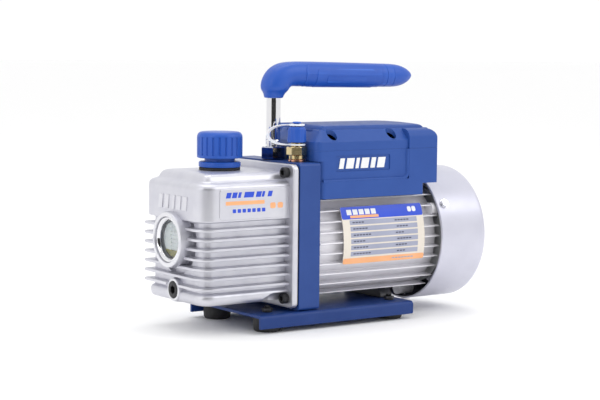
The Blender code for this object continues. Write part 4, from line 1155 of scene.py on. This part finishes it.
def make_terminal_box():
    half, rear = BOX_HIGH.y - 0.05, BOX_HIGH.x - 0.1
    lower = box_layer("terminal_box_moulding", half, BOX_FRONT, 77, BOX_LOW.z, 118.6)
    join(
        lower,
        box_layer("panel", BOX_PANEL, BOX_FRONT, rear, 114.3, 136),
        box_layer("nose", BOX_PANEL - 0.03, BOX_NOSE, rear - 0.03, 135.3, BOX_SEAM - 0.05),
    )
    section = [(-half, 114.2), (half, 114.2), (half, BOX_SEAM - 0.07), (-half, BOX_SEAM - 0.07)]
    join(lower, prism("rear_section", section, "X", BOX_STEP, rear + 0.04))
    cut(
        lower,
        box_layer("inside", BOX_PANEL, BOX_FRONT, rear, 115.4, 160, inset=BOX_WALL),
        box("under", (-28, 74.4), (-47.4, 47.4), (100, 112.8)),
        rod("motor", "X", (0, SHAFT_Z), -40, 100, CORE_RADIUS + 0.5, 96),
    )
    posts = [rod("post", "Z", at, 114, BOX_SEAM - 0.3, BOX_POST_RADIUS, 24) for at in box_screw_places()]
    join(lower, *posts)
    tools = [rod("screw_hole", "Z", at, 127, 150, 2.1, 20) for at in box_screw_places()]
    tools += [
        nut_relief(),
        prism("badge", rounded((-14.6, 41.2), (126.6, 139.6), 1.2, 4), "Y", -60, -BOX_PANEL + 0.8),
    ]
    for x, half_opening in ((INLET_X, 14), (SWITCH_X, 7)):
        sides = (x - half_opening, x + half_opening)
        tools.append(box("opening", sides, (40, 60), (PANEL_Z - 10, PANEL_Z + 10)))
    cut(lower, *tools)
    bevel(lower, 0.6)
    finish_piece(lower, "blue_plastic", "terminal_box", sharp=34)
    make_panel_bead()
    make_badge()


def make_panel_bead():
    """The raised bead that frames the recessed side panel, turning down its rear end."""
    for name, side in (("near", -1), ("far", 1)):
        x_rear, z_low, corner = BOX_STEP - 1.2, 119.4, BEAD_CORNER
        path = [(BOX_FRONT + 3.0, z_low), (x_rear - corner - 6, z_low)]
        path += arc((x_rear - corner, z_low + corner), corner, -90, 0, 8) + [(x_rear, BOX_SEAM - 0.3)]
        rings = []
        for i, (x, z) in enumerate(path):
            ahead, behind = path[min(i + 1, len(path) - 1)], path[max(i - 1, 0)]
            along = Vector((ahead[0] - behind[0], 0, ahead[1] - behind[1])).normalized()
            across = Vector((along.z, 0, -along.x))
            ring = []
            for a, out in ((-1.7, -0.8), (-0.9, 0.9), (-0.3, 1.35), (0.6, 1.45), (1.6, 1.5), (1.6, -0.8)):
                point = Vector((x, 0, z)) + across * a
                point.y = side * (BOX_PANEL + out)
                ring.append(point)
            rings.append(ring)
        finish_piece(solid(f"panel_bead_{name}", rings), "blue_plastic", sharp=50)


def make_badge():
    """Raised plain bars in the side's recess."""
    bars = []
    start = -11.5
    for wide, gap in BADGE_BARS:
        outline = slanted(start, wide, 1.6, 128.8, 137.4)
        bars.append(bevel(prism("bar", outline, "Y", -BOX_PANEL + 0.05, -BOX_PANEL + 0.75), 0.25))
        start += wide + gap
    finish_piece(merged("badge_bars", bars), "white_ink", slot="white_plastic")


# Half of the lid's crowned middle, as (y, z), and its ends as (x, how far it drops)
CROWN = ((36.5, 159.9), (35.6, 162.2), (34.2, 163.0), (31.0, 163.35), (20.0, 163.85), (8.0, 164.15))
CROWN_ENDS = (
    (-21.0, 4.6), (-20.4, 2.6), (-19.4, 1.2), (-18.0, 0.4), (-16.0, 0.0),
    (80.0, 0.0), (83.5, 0.3), (85.5, 1.0), (86.8, 2.2), (87.6, 4.2),
)


def mirrored(outline):
    """An outline from the +Y side to the middle, carried on down the -Y side."""
    return [*outline, *[(-y, z) for y, z in reversed(outline)]]


def lid_body(seam):
    """The lid's outside: sloped sides, the crowned middle and the rear hump."""
    sections = [(seam, 0.0), (150.4, 0.0), (151.2, 0.35), (159.4, 8.5), (160.2, 9.5), (BOX_ROOF, 11.0)]
    rings = []
    for z, lean in sections:
        plan_points = box_plan(BOX_PANEL, BOX_NOSE + lean * 0.95, LID_REAR - 0.1 - lean * 0.25)
        rings.append([(x, max(-BOX_PANEL + lean, min(BOX_PANEL - lean, y)), z) for x, y in plan_points])
    lid = solid("terminal_box_lid", rings)
    half = BOX_HIGH.y - 0.05
    hump = mirrored([(half, seam + 0.02), *arc((half - 8, 152), 8, 0, 90, 8)])
    rear, bend = LID_REAR - 0.08, HUMP_BEND
    rear_rings = [[(BOX_STEP, y, z) for y, z in hump]]
    for x, drop in arc((rear - bend, bend), bend, -90, 0, 8):
        rear_rings.append([(x, y, min(z, 160 - drop)) for y, z in hump])
    crown = []
    for x, drop in CROWN_ENDS:
        crown.append([(x, y, max(z - drop, 158.3)) for y, z in mirrored([(36.6, 158.0), *CROWN])])
    return join(lid, solid("crown", crown), solid("rear_hump", rear_rings))


def make_lid():
    lid = lid_body(BOX_SEAM + 0.03)
    inside = []
    for z, inset in ((140, BOX_WALL), (149.5, BOX_WALL), (157.4, 11)):
        inside.append([(x, y, z) for x, y in box_plan(BOX_PANEL, BOX_NOSE, LID_REAR, inset)])
    cut(lid, solid("inside", inside))
    places = box_screw_places()
    join(lid, *[rod("boss", "Z", at, BOX_SEAM + 0.15, 152, LID_BOSS_RADIUS, 24) for at in places])
    tools = [rod("screw_hole", "Z", at, 140, 150, 2.2, 20) for at in places]
    tools += [rod("screw_pocket", "Z", at, 147.4, 170, LID_POCKET_RADIUS, 40) for at in places]
    tools.append(nut_relief())
    tools.append(prism("front_slot", rounded((-26.4, -23.8), (-30, 6), 1.2, 4), "Z", 158.5, 170))
    cut(lid, *tools)
    bevel(lid, 0.5, 2, 55)
    finish_piece(lid, "blue_plastic", "terminal_box_cover", sharp=34)
    make_lid_screws()


def make_lid_screws():
    """Cross-head screws down in the lid's pockets."""
    for number, at in enumerate(box_screw_places(), 1):
        screw = [(129, 1.9), (147.7, 1.9), (147.7, 3.6), (149.2, 3.6), (149.8, 3.2), (150.2, 2.4)]
        made = turned(f"lid_screw_{number}", screw, "Z", at, 32)
        for a, b in ((2, 0.4), (0.4, 2)):
            cut(made, box("cross", (at[0] - a, at[0] + a), (at[1] - b, at[1] + b), (149.2, 152)))
        finish_piece(made, "zinc_steel", f"box_screw_{number}")


def panel_shell(name, x, face, depth, half, plate_half, corner, proud):
    """A shell let into the box's far side, with a rounded plate proud of the face."""
    z, tall, plate_tall = PANEL_Z, SHELL_HALF_HEIGHT, SHELL_PLATE_HALF_HEIGHT
    shell = box(name, (x - half, x + half), (face - depth, face + 0.5), (z - tall, z + tall))
    outline = rounded((x - plate_half, x + plate_half), (z - plate_tall, z + plate_tall), corner, 6)
    return join(shell, prism("plate", outline, "Y", face + 0.25, face + proud))


def make_power_inlet():
    x, z, face = INLET_X, PANEL_Z, BOX_PANEL
    inlet = panel_shell("power_inlet_shell", x, face, 20, 13.6, 15.6, 3, 2.2)
    outline = rounded((x - 11.3, x + 11.3), (z - 7.6, z + 7.6), 2, 5)
    cut(inlet, prism("recess", outline, "Y", face - 14, face + 10))
    bevel(inlet, 0.35)
    finish_piece(inlet, "black_plastic", "power_inlet")
    pins = []
    for dx, dz in ((-7, -1.5), (0, 1.5), (7, -1.5)):
        pin = box("pin", (x + dx - 1, x + dx + 1), (face - 15, face - 4), (z + dz - 2, z + dz + 2))
        pins.append(bevel(pin, 0.5))
    finish_piece(merged("inlet_pins", pins), "brass")


def make_switch():
    x, z, face = SWITCH_X, PANEL_Z, SWITCH_FACE
    shell = panel_shell("switch_shell", x, face, 19, 6.6, 9, 2, 2.1)
    cut(shell, box("well", (x - 5.0, x + 5.0), (face - 13.5, face + 10), (z - 8.7, z + 8.7)))
    bevel(shell, 0.35)
    finish_piece(shell, "black_plastic", "switch_housing")
    lean, reach = radians(ROCKER_LEAN), 7.9
    heights = (-reach, -5.3, -2.6, 0, 2.6, 5.3, reach)
    dished = [(4.6 - 1.2 * cos(up / reach * pi / 2), up) for up in heights]
    outline = []
    for out, up in [(-5.5, -4), (-2, -7.4), *dished, (-2, 7.4), (-5.5, 4)]:
        y = face - 2.0 + out * cos(lean) - up * sin(lean)
        outline.append((y, z + out * sin(lean) + up * cos(lean)))
    rocker = bevel(prism("switch_rocker_red", outline, "X", x - 4.7, x + 4.7), 0.4)
    finish_piece(rocker, "red_plastic", "switch_rocker", body="switch_rocker", sharp=40)


# ---- printed marks on the tank ----


def make_tank_print():
    """Plain coloured bars where the tank's side carries its print."""
    y = (-TANK_HALF_WIDTH - 0.62, -TANK_HALF_WIDTH - 0.4)
    blue = []
    for i, wide in enumerate((4.4, 4.4, 2.6, 5.6, 3.4, 4.8, 2.4, 4.0)):
        start = -118.5 + 5.6 * i
        blue.append(prism("bar", slanted(start, wide, 1.2, 109.2, 113.6), "Y", *y))
    for i in range(7):
        start = -112.0 + 4.6 * i
        blue.append(prism("square", rounded((start, start + 3.2), (97.4, 100.4), 0.5, 3), "Y", *y))
    finish_piece(merged("tank_print_blue", blue), "label_blue")
    orange = [prism("stripe", rounded((-118.5, -82.0), (103.6, 106.6), 0.4, 3), "Y", *y)]
    for start in (-76.5, -69.5):
        orange.append(prism("lozenge", rounded((start, start + 5.2), (99.6, 104.2), 1.4, 5), "Y", *y))
    finish_piece(merged("tank_print_orange", orange), "label_orange")


# ---- stage ----


def make_camera():
    azimuth, elevation = radians(CAMERA_AZIMUTH), radians(CAMERA_ELEVATION)
    back = Vector((sin(azimuth) * cos(elevation), -cos(azimuth) * cos(elevation),
                   sin(elevation)))
    right = Vector((0, 0, 1)).cross(back).normalized()
    up = back.cross(right)
    roll = radians(CAMERA_ROLL)
    rolled = right * cos(roll) + up * sin(roll)
    raised = up * cos(roll) - right * sin(roll)
    camera = link(bpy.data.objects.new("camera", bpy.data.cameras.new("camera")))
    turn = Matrix((rolled, raised, back)).transposed().to_4x4()
    camera.matrix_world = Matrix.Translation(CAMERA_AT * MM) @ turn
    camera.data.lens = CAMERA_LENS
    camera.data.sensor_width = 36.0
    bpy.context.scene.camera = camera


def area_light(name, at, target, size, power, colour=(1, 1, 1)):
    light = bpy.data.lights.new(name, "AREA")
    light.shape = "RECTANGLE"
    light.size, light.size_y = size
    light.energy = power
    light.color = colour
    obj = link(bpy.data.objects.new(name, light))
    obj.location = at
    obj.rotation_euler = (Vector(target) - Vector(at)).to_track_quat("-Z", "Y").to_euler()


def make_stage():
    world = bpy.data.worlds.new("studio")
    world.use_nodes = True
    background = world.node_tree.nodes["Background"]
    set_inputs(world.node_tree, background, {"Color": (1.0, 1.0, 1.0, 1.0), "Strength": WORLD_LIGHT})
    bpy.context.scene.world = world
    bpy.context.scene.view_settings.view_transform = "Standard"
    floor = box("floor", (-FLOOR_REACH, FLOOR_REACH), (-FLOOR_REACH, FLOOR_REACH), (-8, 0))
    floor.data.materials.append(matt("floor", 0.97))
    make_flag()
    target = (0, 0, 0.1)
    area_light("key", (0.9, -1.1, 1.2), target, (0.9, 0.7), KEY_LIGHT)
    area_light("left", (-1.4, -0.35, 0.8), target, (0.5, 0.9), LEFT_LIGHT)
    area_light("top", (0.1, 0.2, 1.6), target, (1.3, 1.0), TOP_LIGHT)


def matt(name, grey):
    made, tree, shader = new_material(name)
    set_inputs(tree, shader, {"Base Color": (grey, grey, grey, 1), "Roughness": 0.9})
    return made


def make_flag():
    """A dark card beside the camera, which gives the metal its dark bands. Only reflections see it.

    The angles run from the -Y side towards -X, in degrees, about the object's middle.
    """
    outline = []
    for angle in range(FLAG_FROM, FLAG_TO + 1, 4):
        turn = radians(angle)
        outline.append((-FLAG_RADIUS * sin(turn), -FLAG_RADIUS * cos(turn)))
    ring = outline + [(x * 1.01, y * 1.01) for x, y in reversed(outline)]
    card = prism("flag_front", ring, "Z", FLAG_LOW, FLAG_HIGH)
    card.data.materials.append(matt("flag_front", 0.02))
    card.visible_camera = False
    card.visible_diffuse = False
    card.visible_shadow = False


def build():
    make_camera()
    make_stage()
    make_base_plate()
    make_feet()
    make_rear_support()
    make_bracket()
    make_oil_tank()
    make_tank_bolts()
    make_sight_glass()
    make_drain_plug()
    make_tank_print()
    make_exhaust_cap()
    make_post()
    make_grip()
    make_intake()
    make_strap()
    make_housing()
    make_fan_cover()
    make_name_plate()
    dress_carried_nodes()
    make_terminal_box()
    make_lid()
    make_power_inlet()
    make_switch()


build()
